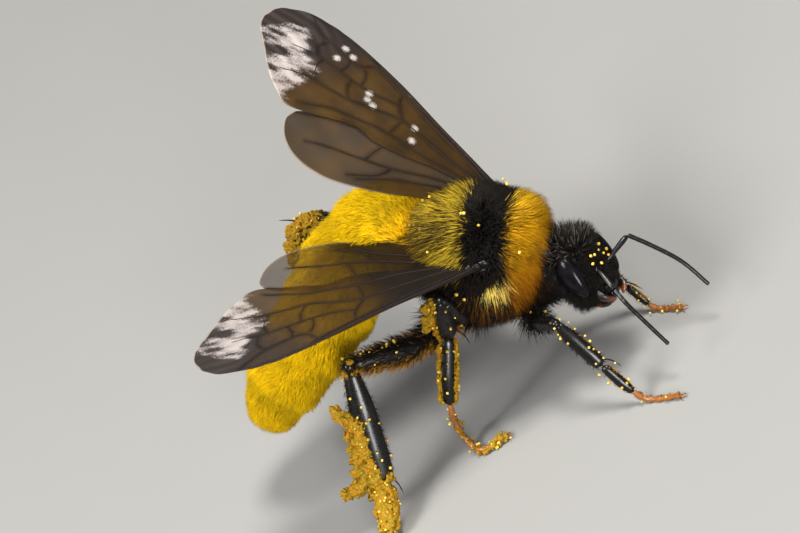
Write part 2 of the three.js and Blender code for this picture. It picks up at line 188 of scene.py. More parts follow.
# Legs: joints in millimetres from the floor point under the thorax; the last three lie on the foot
TOE = 0.19
LEGS = {
    "front_right": (
        (0.9, -0.9, 4.1), (1.2, -1.7, 3.9), (2.9, -3.2, 4.5), (4.2, -4.1, 2.2),
        (4.9, -4.5, 0.95), (5.5, -4.7, TOE), (7.3, -5.1, TOE),
    ),
    "front_left": (
        (0.9, 0.9, 4.1), (1.3, 1.6, 3.7), (3.0, 2.1, 3.5), (4.1, 1.9, 1.5),
        (4.6, 1.6, 0.7), (5.0, 1.4, TOE), (6.5, 0.9, TOE),
    ),
    "mid_right": (
        (-1.0, -1.2, 5.0), (-1.2, -2.3, 5.6), (-1.35, -3.3, 7.75), (-2.2, -2.95, 5.45),
        (-3.3, -4.5, 2.7), (-3.65, -4.5, 0.6), (-2.85, -5.15, TOE), (-1.6, -4.6, TOE),
    ),
    "mid_left": (
        (-1.0, 1.3, 4.5), (-1.2, 2.2, 4.5), (-1.5, 4.0, 7.0), (-2.9, 5.3, 4.2),
        (-4.0, 6.5, 1.4), (-4.4, 7.1, TOE), (-5.1, 9.0, TOE),
    ),
    "hind_right": (
        (-2.8, -1.3, 5.4), (-3.4, -2.4, 5.1), (-6.3, -4.85, 6.65), (-6.75, -7.45, 1.65),
        (-6.7, -8.9, 0.9), (-6.7, -10.2, TOE), (-6.3, -12.5, TOE),
    ),
    "hind_left": (
        (-2.8, 1.3, 5.4), (-3.3, 2.4, 5.3), (-5.4, 4.6, 7.1), (-10.1, 4.3, 8.2),
        (-11.3, 4.1, 5.7), (-11.7, 4.3, 4.6), (-11.7, 4.7, 3.1),
    ),
}
# Half widths of thigh, shin and heel in millimetres
LEG_BUILDS = {"front": (0.38, 0.36, 0.26), "mid": (0.46, 0.5, 0.38), "hind": (0.56, 0.62, 0.46)}
HEEL_SHARE = 0.42  # share of the foot that its first joint takes
SPURS = {"front": (1,), "mid": (1,), "hind": (1, -1)}  # the edges of the shin that have one
CLAW_DROP = 0.096
SOLE_HEIGHT = 0.004  # no part of a leg is lower
HIP_DEPTH = 0.42  # how far a hip reaches into the thorax, as a share of the way to its middle
SEGMENTS = {"thigh": 1, "shin": 2, "heel": 3, "toes": 4, "claw": 5, "spur": 6}
# Half widths along each part, as shares of the part's own half width
HIP_PROFILE = ((0, 1.5), (0.5, 1.35), (0.85, 0.95), (1, 0.8))
THIGH_PROFILE = ((0, 1), (0.25, 0.75), (0.5, 1.05), (0.8, 0.85), (0.97, 0.62), (1, 0.5))
SHIN_PROFILE = ((0, 0.5), (0.1, 0.66), (0.35, 0.96), (0.75, 1), (1, 0.84))
HEEL_PROFILE = ((0, 0.5), (0.12, 0.9), (0.6, 1), (1, 0.7))

# The view on the bee
VIEW_AZIMUTH, VIEW_ELEVATION, VIEW_ROLL = (math.radians(a) for a in (31.6, 33.2, 34.8))
VIEW_DISTANCE = 250
VIEW_AIM = (-3.694, -0.743)  # millimetres right and up from the thorax

# Lamps: place right, up and back of the thorax and width in millimetres, then watts and colour
LAMPS = {
    "key_lamp": ((-40, 180, 130), 60, 0.85, (1.0, 0.97, 0.9)),
    "side_lamp": ((-170, 10, 110), 80, 0.62, (1.0, 0.99, 0.96)),
    "front_lamp": ((30, -50, 200), 70, 0.5, (1, 1, 1)),
}
SKY_COLOUR = (0.95, 0.97, 1.0, 1)
SKY_STRENGTH = 0.26
FLOOR_WIDTH = 1.6  # metres


def length_property(name, description, default):
    return FloatProperty(name=name, description=description, default=default, unit="LENGTH", precision=6)


class BeeSizes(PropertyGroup):
    thorax_hair: length_property("Thorax hair", "Length of the hair on the thorax", 0.00112)
    tail_hair: length_property("Abdomen hair", "Length of the hair on the abdomen", 0.00078)
    face_hair: length_property("Head hair", "Length of the hair on the head", 0.00066)
    hair_width: length_property("Hair width", "Width of a tuft at its root", 0.000034)
    coat_density: FloatProperty(
        name="Coat density", description="Share of the full coat", subtype="FACTOR", default=1.0, max=1.0
    )
    membrane: length_property("Membrane", "Thickness of a wing between its veins", 0.00003)
    grain: length_property("Pollen grain", "Width of a grain of pollen", 0.00016)


def colour_property(name, description, default):
    limits = {"size": 3, "min": 0, "max": 1}
    return FloatVectorProperty(name=name, description=description, subtype="COLOR", default=default, **limits)


class BeeColours(PropertyGroup):
    golden: colour_property("Golden", "Hair of the collar and of the thorax's rear", (0.66, 0.345, 0.004))
    tail: colour_property("Yellow", "Hair of the abdomen", (0.78, 0.5, 0.0))
    cream: colour_property("Cream", "Hair of the pale tuft under each wing", (1.0, 0.71, 0.15))
    black: colour_property("Black", "Hair of the head and the black band", (0.008, 0.0068, 0.006))
    shell: colour_property("Shell", "Bare shell of legs, feelers and wing caps", (0.0024, 0.002, 0.0018))
    amber: colour_property("Amber", "Tips of the jaws and the tongue", (0.13, 0.035, 0.008))
    membrane: colour_property("Membrane", "Wings between their veins", (0.026, 0.0122, 0.001))
    pollen: colour_property("Pollen", "Grains of pollen", (0.21, 0.13, 0.0005))
    floor: colour_property("Floor", "The floor", (0.2, 0.198, 0.194))


# Frames

def middle_of(node):
    low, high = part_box(node)
    return (low + high) / 2 / MM


def body_frame():
    """Where the body's own millimetres lie, found from the caps over the two wing roots."""
    caps = (middle_of("tegula_left") + middle_of("tegula_right")) / 2
    pitch = Matrix.Rotation(BODY_PITCH, 4, "Y")
    return Matrix.Translation(caps - pitch @ WING_CAP) @ pitch


BODY = body_frame()
THORAX = BODY.translation
FLOOR = Matrix.Translation((THORAX.x, THORAX.y, 0))


def head_frame():
    turn = Matrix.Identity(4)
    for axis, degrees in HEAD_TURNS:
        turn = turn @ Matrix.Rotation(math.radians(degrees), 4, axis)
    return BODY @ Matrix.Translation(HEAD_CENTRE) @ turn


HEAD = head_frame()


def wing_frame(side):
    """Axes of a wing in the body's frame: out along it, back across it and up out of it."""
    s = SIDES[side]
    sweep, lift, roll = (math.radians(a) for a in WING_POSES[side])
    out = Vector((-math.cos(sweep) * math.cos(lift), s * math.sin(sweep) * math.cos(lift), math.sin(lift)))
    level = (Vector((0, 0, 1)) - out * out.z).normalized()
    back = level.cross(out) * s
    up = level * math.cos(roll) + back * (s * math.sin(roll))
    back = up.cross(out) * s
    axes = Matrix((out, back, up)).transposed().to_4x4()
    root = Vector((WING_ROOT[0], s * WING_ROOT[1], WING_ROOT[2]))
    return BODY @ Matrix.Translation(root) @ axes


def moved(points, matrix):
    points = np.asarray(points, float)
    grid = np.array(matrix)
    return points @ grid[:3, :3].T + grid[:3, 3]


def turned(ways, matrix):
    return np.asarray(ways, float) @ np.array(matrix)[:3, :3].T


def unit(ways):
    return ways / np.maximum(np.linalg.norm(ways, axis=-1, keepdims=True), 1e-12)


def ramp(value, low, high):
    """0 below low, 1 above high and smooth between."""
    share = np.clip((np.asarray(value, float) - low) / (high - low), 0, 1)
    return share * share * (3 - 2 * share)


def pillow(share, power):
    """Rounds off both ends of a drawn-out piece, the more bluntly the higher the power."""
    return np.power(np.maximum(0, 1 - np.abs(2 * share - 1) ** power), 1 / power)


class Route:
    """A smooth curve through a few points, read by the share of its length."""

    def __init__(self, points, steps=40, closed=False):
        points = np.asarray(points, float)
        if closed:
            points = np.vstack((points[-1], points, points[:2]))
        else:
            points = np.vstack((2 * points[0] - points[1], points, 2 * points[-1] - points[-2]))
        gaps = np.linalg.norm(np.diff(points, axis=0), axis=1) ** (0 if closed else 0.5)
        knots = np.concatenate(([0], np.cumsum(gaps)))
        places = [points[1]]
        for i in range(1, len(points) - 2):
            for t in np.linspace(knots[i], knots[i + 1], steps + 1)[1:]:
                places.append(self.between(points[i - 1 : i + 3], knots[i - 1 : i + 3], t))
        self.places = np.array(places)
        run = np.linalg.norm(np.diff(self.places, axis=0), axis=1)
        self.shares = np.concatenate(([0], np.cumsum(run)))
        self.length = self.shares[-1]
        self.shares /= self.length

    @staticmethod
    def between(p, k, t):
        """Place at t on the curve through four points p at the knots k."""

        def mixed(first, second, low, high):
            return (high - t) / (high - low) * first + (t - low) / (high - low) * second

        row = [mixed(p[i], p[i + 1], k[i], k[i + 1]) for i in range(3)]
        row = [mixed(row[i], row[i + 1], k[i], k[i + 2]) for i in range(2)]
        return mixed(*row, k[1], k[2])

    def at(self, share):
        share = np.asarray(share, float)
        return np.stack([np.interp(share, self.shares, line) for line in self.places.T], -1)

    def way(self, share):
        share = np.asarray(share, float)
        return unit(self.at(np.minimum(share + 0.01, 1)) - self.at(np.maximum(share - 0.01, 0)))

    def nearest(self, points, samples=160):
        """Share of the route nearest to each point, and how far away it is."""
        shares = np.linspace(0, 1, samples)
        places = self.at(shares)
        found = np.zeros(len(points))
        gap = np.full(len(points), np.inf)
        for share, place in zip(shares, places):
            far = np.linalg.norm(points - place, axis=1)
            nearer = far < gap
            found[nearer] = share
            gap[nearer] = far[nearer]
        return found, gap


ABDOMEN = Route(ABDOMEN_BENDS)


def abdomen_radius(share):
    front = np.sqrt(np.maximum(0, 1 - ((FULLEST - share) / 0.5) ** 2))
    rear = np.power(np.maximum(0, 1 - (np.maximum(share - FULLEST, 0) / (1 - FULLEST)) ** 3), 0.45)
    return ABDOMEN_RADIUS * np.where(share < FULLEST, front, rear)


def abdomen_axes(share):
    """Ways along, left and up of the abdomen at a share of its length."""
    way = ABDOMEN.way(share)
    left = unit(np.cross((0, 0, 1), way))
    return way, left, np.cross(way, left)


# Pieces

def only(piece):
    bpy.ops.object.select_all(action="DESELECT")
    piece.select_set(True)
    bpy.context.view_layer.objects.active = piece


def linked(name, data):
    piece = bpy.data.objects.new(name, data)
    bpy.context.scene.collection.objects.link(piece)
    return piece


def face_outward():
    """Turns the faces of the active piece outward."""
    bpy.ops.object.mode_set(mode="EDIT")
    bpy.ops.mesh.select_all(action="SELECT")
    bpy.ops.mesh.normals_make_consistent(inside=False)
    bpy.ops.object.mode_set(mode="OBJECT")


def places_of(piece, what="co"):
    flat = np.empty(len(piece.data.vertices) * 3, np.float32)
    piece.data.vertices.foreach_get(what, flat)
    return flat.reshape(-1, 3).astype(float)


def normals_of(piece):
    return places_of(piece, "normal")


def put_places(piece, places):
    piece.data.vertices.foreach_set("co", np.ascontiguousarray(places, np.float32).ravel())
    piece.data.update()


# How values of each width are kept on the vertices
LAYERS = {1: ("FLOAT", "value"), 3: ("FLOAT_VECTOR", "vector"), 4: ("FLOAT_COLOR", "color")}


def store(piece, name, values):
    """Keeps a value, a vector or a colour on every vertex of a piece."""
    values = np.ascontiguousarray(values, np.float32)
    kind, key = LAYERS[1 if values.ndim == 1 else values.shape[1]]
    layer = piece.data.attributes.get(name) or piece.data.attributes.new(name, kind, "POINT")
    layer.data.foreach_set(key, values.ravel())


def stored(piece, name, width=1):
    values = np.zeros(len(piece.data.vertices) * width, np.float32)
    piece.data.attributes[name].data.foreach_get(LAYERS[width][1], values)
    return values if width == 1 else values.reshape(-1, width)


def ball(matrix, centre, radii, sides=24, rings=16):
    """A ball stretched to three radii, at a place in the given frame."""
    bpy.ops.object.select_all(action="DESELECT")
    bpy.ops.mesh.primitive_uv_sphere_add(segments=sides, ring_count=rings, radius=1)
    piece = bpy.context.object
    piece.matrix_world = matrix @ Matrix.Translation(centre) @ Matrix.Diagonal((*radii, 1))
    bpy.ops.object.transform_apply(location=True, rotation=True, scale=True)
    return piece


def drawn_out(route, widths, sides=14, rings=14, side=(0, 1, 0), flat=1.0, ends=8, segment=0):
    """A ball drawn out along a route. widths gives its half width at shares of the route."""
    bpy.ops.object.select_all(action="DESELECT")
    bpy.ops.mesh.primitive_uv_sphere_add(segments=sides, ring_count=rings, radius=1)
    piece = bpy.context.object
    round_ball = places_of(piece)
    shares = np.arccos(np.clip(round_ball[:, 2], -1, 1)) / math.pi
    angle = np.arctan2(round_ball[:, 1], round_ball[:, 0])
    knots, sizes = zip(*widths)
    half = np.interp(shares, knots, sizes) * pillow(shares, ends)
    way = route.way(shares)
    side = np.asarray(side, float)
    across = unit(side - way * (way @ side)[:, None])
    up = np.cross(way, across)
    offset = across * (half * np.cos(angle))[:, None] + up * (half * flat * np.sin(angle))[:, None]
    put_places(piece, route.at(shares) + offset)
    store(piece, "share", shares)
    store(piece, "distal", way)
    store(piece, "segment", np.full(len(shares), float(segment)))
    face_outward()
    return piece


def joined(pieces):
    bpy.ops.object.select_all(action="DESELECT")
    for piece in pieces:
        piece.select_set(True)
    bpy.context.view_layer.objects.active = pieces[0]
    if len(pieces) > 1:
        bpy.ops.object.join()
    return bpy.context.object


def apply_modifier(piece, kind, **settings):
    only(piece)
    modifier = piece.modifiers.new(kind.title(), kind)
    for key, value in settings.items():
        setattr(modifier, key, value)
    bpy.ops.object.modifier_apply(modifier=modifier.name)


def settle(piece, name, material, replaced=()):
    """Brings a piece from millimetres to metres, names it, finishes it and lets it ride."""
    only(piece)
    bpy.ops.object.shade_smooth()
    piece.data.transform(Matrix.Scale(MM, 4))
    piece.name = piece.data.name = name
    piece.data.materials.clear()
    piece.data.materials.append(material)
    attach(piece, "root")
    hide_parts(*replaced)


# Materials

class Value:
    """A number socket that can be used in sums."""

    def __init__(self, shade, socket):
        self.shade = shade
        self.socket = socket

    def maths(self, operation, *values):
        return self.shade.node("ShaderNodeMath", {"operation": operation}, dict(enumerate(values)))

    def __add__(self, other):
        return self.maths("ADD", self, other)

    __radd__ = __add__

    def __mul__(self, other):
        return self.maths("MULTIPLY", self, other)

    __rmul__ = __mul__

    def __sub__(self, other):
        return self.maths("SUBTRACT", self, other)

    def __rsub__(self, other):
        return self.maths("SUBTRACT", other, self)

    def between(self, low, high):
        """0 below low, 1 above high."""
        sockets = {"Value": self, "From Min": low, "From Max": high}
        return self.shade.node("ShaderNodeMapRange", {"interpolation_type": "SMOOTHSTEP"}, sockets)


class Shade:
    """One material, written as expressions on its sockets."""

    def __init__(self, name, **constants):
        self.material = bpy.data.materials.new(name)
        self.material.use_nodes = True
        self.tree = self.material.node_tree
        self.surface = self.tree.nodes["Principled BSDF"]
        for socket, value in constants.items():
            self.surface.inputs[socket.replace("_", " ")].default_value = value

    def node(self, kind, settings=None, sockets=None, output=0):
        made = self.tree.nodes.new(kind)
        for key, value in (settings or {}).items():
            setattr(made, key, value)
        for key, value in (sockets or {}).items():
            self.feed(made.inputs[key], value)
        return Value(self, made.outputs[output])

    def feed(self, socket, value):
        if isinstance(value, Value):
            self.tree.links.new(value.socket, socket)
        elif socket.type == "RGBA":
            socket.default_value = (*value, 1)[:4]
        else:
            socket.default_value = value

    def drive(self, **sockets):
        for name, value in sockets.items():
            self.feed(self.surface.inputs[name.replace("_", " ")], value)
        return self.material

    def place(self):
        """The piece's own coordinates, in millimetres."""
        own = self.node("ShaderNodeTexCoord", output="Object")
        return self.node("ShaderNodeVectorMath", {"operation": "SCALE"}, {0: own, "Scale": 1 / MM})

    def kept(self, name, output="Fac"):
        return self.node("ShaderNodeAttribute", {"attribute_name": name}, output=output)

    def noise(self, size, detail=3.0, roughness=0.5, place=None):
        sockets = {"Scale": 1 / size, "Detail": detail, "Roughness": roughness}
        return self.node("ShaderNodeTexNoise", {}, {"Vector": place or self.place(), **sockets}, "Fac")

    def cells(self, size):
        return self.node("ShaderNodeTexVoronoi", {}, {"Vector": self.place(), "Scale": 1 / size}, "Distance")

    def mix(self, share, first, second):
        return self.node("ShaderNodeMix", {"data_type": "RGBA"}, {0: share, 6: first, 7: second}, 2)

    def bump(self, height, depth, strength=1.0):
        """Bumps of a depth in millimetres."""
        sockets = {"Height": height, "Distance": depth * MM, "Strength": strength}
        return self.node("ShaderNodeBump", {}, sockets)


# Tones that no setting changes
FLECKS = (0.02, 0.012, 0.006)
BARE_SKIN = (0.01, 0.008, 0.006)
TOE_BROWN = (0.24, 0.085, 0.015)
EYE_TONES = ((0.002, 0.002, 0.003), (0.006, 0.005, 0.006))
OCELLUS_TONES = ((0.02, 0.012, 0.01), (0.07, 0.04, 0.025))
WING_OUTER = (0.016, 0.013, 0.014)
WING_SMOKE = (0.004, 0.0028, 0.0024)
WING_BY_VEINS = (0.005, 0.003, 0.002)
WING_PAINTED_SHEEN = (0.38, 0.335, 0.325)
WING_PAINTED_GLINT = (0.42, 0.39, 0.37)
WING_RIM = (0.4, 0.34, 0.26)
VEIN_TONES = ((0.004, 0.003, 0.003), (0.02, 0.009, 0.005))
BRIGHT_POLLEN = (1.0, 0.7, 0.12)
BROWN_POLLEN = (0.36, 0.14, 0.002)


def scaled(colour, factor):
    return tuple(min(1.0, channel * factor) for channel in colour)


def coat_material():
    """Hair: each tuft keeps its own colours from root to tip and shines only softly."""
    shade = Shade("coat", Specular_IOR_Level=0.08)
    own = shade.kept("coat", "Color")
    fleck = shade.noise(0.12, 2.0)
    colour = shade.mix(fleck * 0.2, own, FLECKS)
    return shade.drive(Base_Color=colour, Roughness=0.4 + fleck * 0.25)


def skin_material():
    """Bare skin under the coat, with the coat's markings in a darker tone."""
    shade = Shade("skin", Specular_IOR_Level=0.25)
    grain = shade.noise(0.05, 4.0)
    colour = shade.mix(0.5 + shade.kept("thin") * 0.45, shade.kept("coat", "Color"), BARE_SKIN)
    bumps = shade.bump(grain + shade.cells(0.09), 0.012)
    return shade.drive(Base_Color=colour, Roughness=0.55 + grain * 0.3, Normal=bumps)


def shell_material(name, colours, dusted=False, dull=0.0):
    """Glossy black shell with fine pits, on legs browner towards the claws and dusted with pollen."""
    shade = Shade(name, Specular_IOR_Level=0.24, Coat_Roughness=0.1)
    wide = shade.noise(0.5)
    pits = shade.cells(0.07)
    fine = shade.noise(0.03, 4.0)
    colour = shade.mix(wide.between(0.4, 0.75), colours.shell, scaled(colours.shell, 1.6))
    bumps = shade.bump(pits.between(0.0, 0.3) + fine * 0.3, 0.005 if dusted else 0.0015, 0.25)
    rough = 0.14 + dull + wide * 0.1 + (pits.between(0.2, 0.4) * 0.14 if dusted else 0)
    if dusted:
        segment = shade.kept("segment")
        toes = segment.between(3.4, 3.8) - segment.between(5.4, 5.8)
        colour = shade.mix(toes * (0.5 + wide * 0.6), colour, TOE_BROWN)
        powder = (shade.noise(0.1, 4.0, 0.7) + shade.kept("dust") * 0.42).between(0.78, 0.88)
        colour = shade.mix(powder, colour, scaled(colours.pollen, 1.4))
        rough = rough + powder * 0.5
    return shade.drive(Base_Color=colour, Roughness=rough, Coat_Weight=0.14, Normal=bumps)


def eye_material():
    """Compound eye: fine facets on a satin dark dome."""
    shade = Shade("compound_eye", Specular_IOR_Level=0.11)
    facets = shade.cells(0.045)
    bands = shade.noise(0.6)
    colour = shade.mix(bands.between(0.35, 0.7), *EYE_TONES)
    domes = shade.bump(facets, 0.004, 0.4)
    return shade.drive(Base_Color=colour, Roughness=0.12 + bands * 0.08, Normal=domes)


def ocellus_material():
    """Simple eye: a small glassy dome."""
    shade = Shade("ocellus", Specular_IOR_Level=0.7, Coat_Weight=0.6)
    glow = shade.noise(0.08)
    return shade.drive(Base_Color=shade.mix(glow, *OCELLUS_TONES), Roughness=0.08 + glow * 0.1)


def jaw_material(colours):
    """Jaws and tongue: black at the root, amber towards the tip, finely grooved."""
    shade = Shade("jaw", Specular_IOR_Level=0.5)
    grooves = shade.noise(0.06, 4.0)
    tip = (shade.kept("share") + grooves * 0.3).between(0.55, 1.0)
    colour = shade.mix(tip, colours.shell, colours.amber)
    return shade.drive(Base_Color=colour, Roughness=0.25 + grooves * 0.2, Normal=shade.bump(grooves, 0.01))


def membrane_material(colours):
    """Smoky amber wing skin, darkest by the veins, with a painted silvery reflection in bands inside its
    outer margin and a few painted glints.
    """
    shade = Shade("membrane", Specular_IOR_Level=0.14)
    sheet = shade.node("ShaderNodeUVMap", {"uv_map": "along_wing"})
    turn = {"rotation_type": "Z_AXIS"}
    slant = shade.node("ShaderNodeVectorRotate", turn, {"Vector": sheet, "Angle": math.radians(-26)})
    stretch = shade.node("ShaderNodeVectorMath", {"operation": "MULTIPLY"}, {0: slant, 1: (0.42, 1.0, 1.0)})
    bands = shade.noise(0.06, 2.0, 0.6, stretch)
    crinkles = shade.noise(0.007, 5.0, 0.75, sheet)
    cloud = shade.noise(0.11, 3.0, 0.5, sheet)
    outer, near_vein, rim = shade.kept("outer"), shade.kept("near_vein"), shade.kept("rim")
    light = shade.mix(cloud.between(0.35, 0.65), colours.membrane, scaled(colours.membrane, 1.7))
    light = shade.mix(outer * 0.85, light, WING_OUTER)
    smoke = shade.kept("smoke")
    light = shade.mix(smoke * 0.95, light, WING_SMOKE)
    colour = shade.mix(near_vein * 0.9, light, WING_BY_VEINS)
    # Painted reflection: a silvery sheen in bands inside the outer margin, and painted glints at a few spots
    painted_sheen = (bands + crinkles * 0.5 + shade.kept("sheen_patches") * 0.5).between(1.16, 1.38)
    colour = shade.mix(painted_sheen * 0.75, colour, WING_PAINTED_SHEEN)
    glints = (shade.kept("glint") * 0.8 + crinkles).between(0.86, 1.3)
    colour = shade.mix(glints * 0.8, colour, WING_PAINTED_GLINT)
    colour = shade.mix(rim * 0.6, colour, WING_RIM)
    body = 0.8 + cloud * 0.1 - shade.kept("clear") * 0.3
    body = body + smoke * 0.25 + near_vein * 0.2 + outer * 0.16 + rim * 0.1
    height = bands * (0.3 + outer) + crinkles * (0.06 + outer * 0.3)
    rough = 0.38 + crinkles * 0.2 + painted_sheen * 0.1
    return shade.drive(Base_Color=colour, Alpha=body, Roughness=rough, Normal=shade.bump(height, 0.03))


def vein_material():
    """Veins: near black, browner in patches, dull with a few glossy spots."""
    shade = Shade("vein", Specular_IOR_Level=0.14)
    grain = shade.noise(0.08, 3.0)
    spots = shade.noise(0.35, 2.0).between(0.6, 0.7)
    colour = shade.mix(grain.between(0.4, 0.8), *VEIN_TONES)
    rough = 0.6 - spots * 0.35 + grain * 0.1
    return shade.drive(Base_Color=colour, Roughness=rough, Normal=shade.bump(grain, 0.01))


def pollen_material(colours):
    """Pollen: grainy yellow, each grain its own tone."""
    shade = Shade("pollen", Specular_IOR_Level=0.12)
    spikes = 1 - shade.cells(0.11)
    tone = shade.kept("tone")
    patches = shade.noise(0.35, 3.0).between(0.35, 0.65)
    colour = shade.mix(tone, colours.pollen, BRIGHT_POLLEN)
    colour = shade.mix(patches * (1 - tone) * 0.7, colour, BROWN_POLLEN)
    # Painted shade: darker in the hollows between the spikes, where the bumps are low
    colour = shade.mix(spikes.between(0.75, 0.45) * 0.35, colour, scaled(colours.pollen, 0.35))
    return shade.drive(Base_Color=colour, Roughness=0.6 + tone * 0.2, Normal=shade.bump(spikes, 0.06))


def floor_material(colours):
    shade = Shade("floor", Specular_IOR_Level=0.2)
    grain = shade.noise(6.0, 3.0)
    colour = shade.mix(grain, scaled(colours.floor, 0.985), scaled(colours.floor, 1.015))
    return shade.drive(Base_Color=colour, Roughness=0.75 + grain * 0.1)


# Markings, for skin and coat alike, with painted light and shade on the collar and the abdomen

def in_frame(points, matrix):
    return moved(points, matrix.inverted())


def is_head(points):
    return np.linalg.norm(in_frame(points, HEAD) / HEAD_SPAN, axis=1) < 1.0


def abdomen_share(points):
    """Share along the abdomen of each place, and whether it belongs to the abdomen."""
    own = in_frame(points, BODY)
    share, gap = ABDOMEN.nearest(own)
    thorax = np.linalg.norm(own / THORAX_RADII, axis=1)
    return share, (own[:, 0] < ABDOMEN_FRONT) & (thorax > 1.04) & (gap < ABDOMEN_REACH)


def ring_share(share):
    """How far along its own ring a place on the abdomen is."""
    return np.mod(share * ABDOMEN_RINGS, 1.0)


# Where the thorax's markings start and are full, in the body's frame: along it and up it
COLLAR_EDGE, COLLAR_LOWEST = (1.22, 1.38), (-0.95, -0.4)
REAR_EDGE, REAR_LOWEST = (0.16, 0.34), (0.7, 1.25)
THROAT_EDGE, THROAT_TOP = (2.35, 2.6), (-0.9, -0.2)
CREAM_SPOT = (0.9, 2.3, 0.16)
CREAM_REACH = (0.24, 0.6, 0.07)  # squared

# Factors on the golden of the thorax and the yellow of the abdomen, or what they lose; some paint light and
# shade
FLANK_BROWN_AND_REFLECTED = (0.28, 0.19, 0.8)
COLLAR_PAINTED_LIGHT = (0.3, 0.47, 3.5)
COLLAR_FRONT = (0.3, 0.34, 0.3)
COLLAR_PAINTED_SHADE = (0.33, 0.39, 0.4)
COLLAR_LOWER_SHADE = (0.02, 0.2, 0.1)
COLLAR_BROWN = (0.4, 0.3, 0.6)
REAR_BROWN = (0.17, 0.2, 1.5)
REAR_GOLD = (0.64, 0.84, 4.0)
TAIL_BASE_SHADE = np.array((0.12, 0.3, 0.2))
TAIL_UNDER_SHADE = np.array((0.22, 0.3, 0.2))


def markings(points, colours, rng=None):
    """Colour of the coat at places in millimetres, with painted light and painted shade on the collar and the
    abdomen.
    """
    own = in_frame(points, BODY)
    count = len(points)
    wobble = rng.normal(0, 0.08, count) if rng is not None else np.zeros(count)
    x, y, z = own[:, 0] + wobble, np.abs(own[:, 1]), own[:, 2] + wobble * 2
    paint = np.tile(np.array(colours.black), (count, 1))
    golden, cream, tail = (np.array(c) for c in (colours.golden, colours.cream, colours.tail))

    def lay(colour, share):
        paint[:] = paint * (1 - share[:, None]) + colour * share[:, None]

    def some(chance):
        """Picks tufts one by one where the coat is mixed, or blends the skin below them."""
        return (rng.random(count) < chance) * 1.0 if rng is not None else chance * 0.5

    # Brown tufts on the lower flanks: real brown hair, made commoner and lighter as painted light reflected
    # onto the underside
    flank = ramp(-z, -0.2, 0.4) * ramp(y, 0.9, 1.6) * (1 - ramp(-z, 1.5, 2.3))
    lay(golden * FLANK_BROWN_AND_REFLECTED, some(flank * 0.32))
    collar = ramp(x, *COLLAR_EDGE) * ramp(z, *COLLAR_LOWEST)
    # Painted light and shade on the collar: lighter on its upper left side where light falls, darker lower
    # down where it is shaded; also darker at its lower front
    collar_shade, lower = ramp(-z, -2.2, -1.3)[:, None], ramp(-z, -1.3, 0.1)[:, None]
    collar_sunlight = ramp(z + 0.7 * own[:, 1], 1.3, 2.7)[:, None] * COLLAR_PAINTED_LIGHT
    front = (ramp(x, 1.9, 2.7) * ramp(-z, -2.0, -1.2))[:, None] * COLLAR_FRONT
    lay(golden * (1.05 + collar_sunlight - front - collar_shade * COLLAR_PAINTED_SHADE - lower * COLLAR_LOWER_SHADE), collar)
    lay(golden * COLLAR_BROWN, some(collar * 0.12))
    rear = ramp(-x, *REAR_EDGE) * ramp(z, *REAR_LOWEST)
    worn = np.exp(-(((y - 1.05) / 0.62) ** 2)) * ramp(-x, 0.3, 0.75)
    lay(golden * REAR_BROWN, some(rear * 0.7))
    lay(golden * REAR_GOLD, some(rear * (0.78 - 0.7 * worn) * (1 - 0.8 * ramp(-x, 1.5, 2.2))))
    lay(np.array(colours.black), ramp(x, *THROAT_EDGE) * ramp(-z, *THROAT_TOP))
    away = zip((x, y, z), CREAM_SPOT, CREAM_REACH)
    pale = np.exp(-sum((line - middle) ** 2 / reach for line, middle, reach in away))
    lay(cream, ramp(pale + wobble, 0.3, 0.5))
    share, on_abdomen = abdomen_share(points)
    edge = ring_share(share)
    around = own - ABDOMEN.at(share)
    # Painted shade on the abdomen: darker at the front of each ring where it folds under the one before,
    # where it meets the thorax, and on its underside
    under = ramp(-around[:, 2] + 0.35 * around[:, 0], 0.6, 2.0)
    shaded_tail = tail * (0.88 + 0.12 * ramp(edge, 0.3, 0.85))[:, None]
    shaded_tail = shaded_tail * (1 - ramp(-share, -0.2, -0.03)[:, None] * TAIL_BASE_SHADE)
    shaded_tail = shaded_tail * (1 - under[:, None] * TAIL_UNDER_SHADE)
    paint = np.where(on_abdomen[:, None], shaded_tail, paint)
    paint = np.where(is_head(points)[:, None], np.array(colours.black), paint)
    return paint


# The body's skin: centre and radii of the balls that it grows over

BODY_LUMPS = (
    ((0, 0, 0), THORAX_RADII),
    ((-1.35, 0, 0.75), (1.3, 1.75, 1.4)),
    ((-0.2, 0, -1.25), (2.0, 1.7, 1.25)),
    ((1.5, 0, -1.5), (0.9, 1.2, 0.8)),
    ((2.9, -0.1, -0.9), (1.5, 0.8, 0.85)),
    ((-2.75, 0.1, -1.0), (0.9, 1.0, 1.0)),
)
HEAD_LUMPS = (
    ((-0.12, 0, 0.1), (0.84, 1.3, 1.4)),
    ((-0.25, 0, 0.72), (0.66, 1.12, 0.78)),
    ((0.24, 0, 0.05), (0.62, 0.82, 1.05)),
    ((-0.15, 0.66, -0.55), (0.6, 0.5, 0.85)),
    ((-0.15, -0.66, -0.55), (0.6, 0.5, 0.85)),
    ((0.2, 0, -0.95), (0.55, 0.78, 0.66)),
    ((0.42, 0, -0.98), (0.4, 0.6, 0.5)),
)
ABDOMEN_BEADS = 26
SKIN_GRID = 0.09
RING_STEP = (0.05, -0.03)  # how much each ring widens, and where it starts


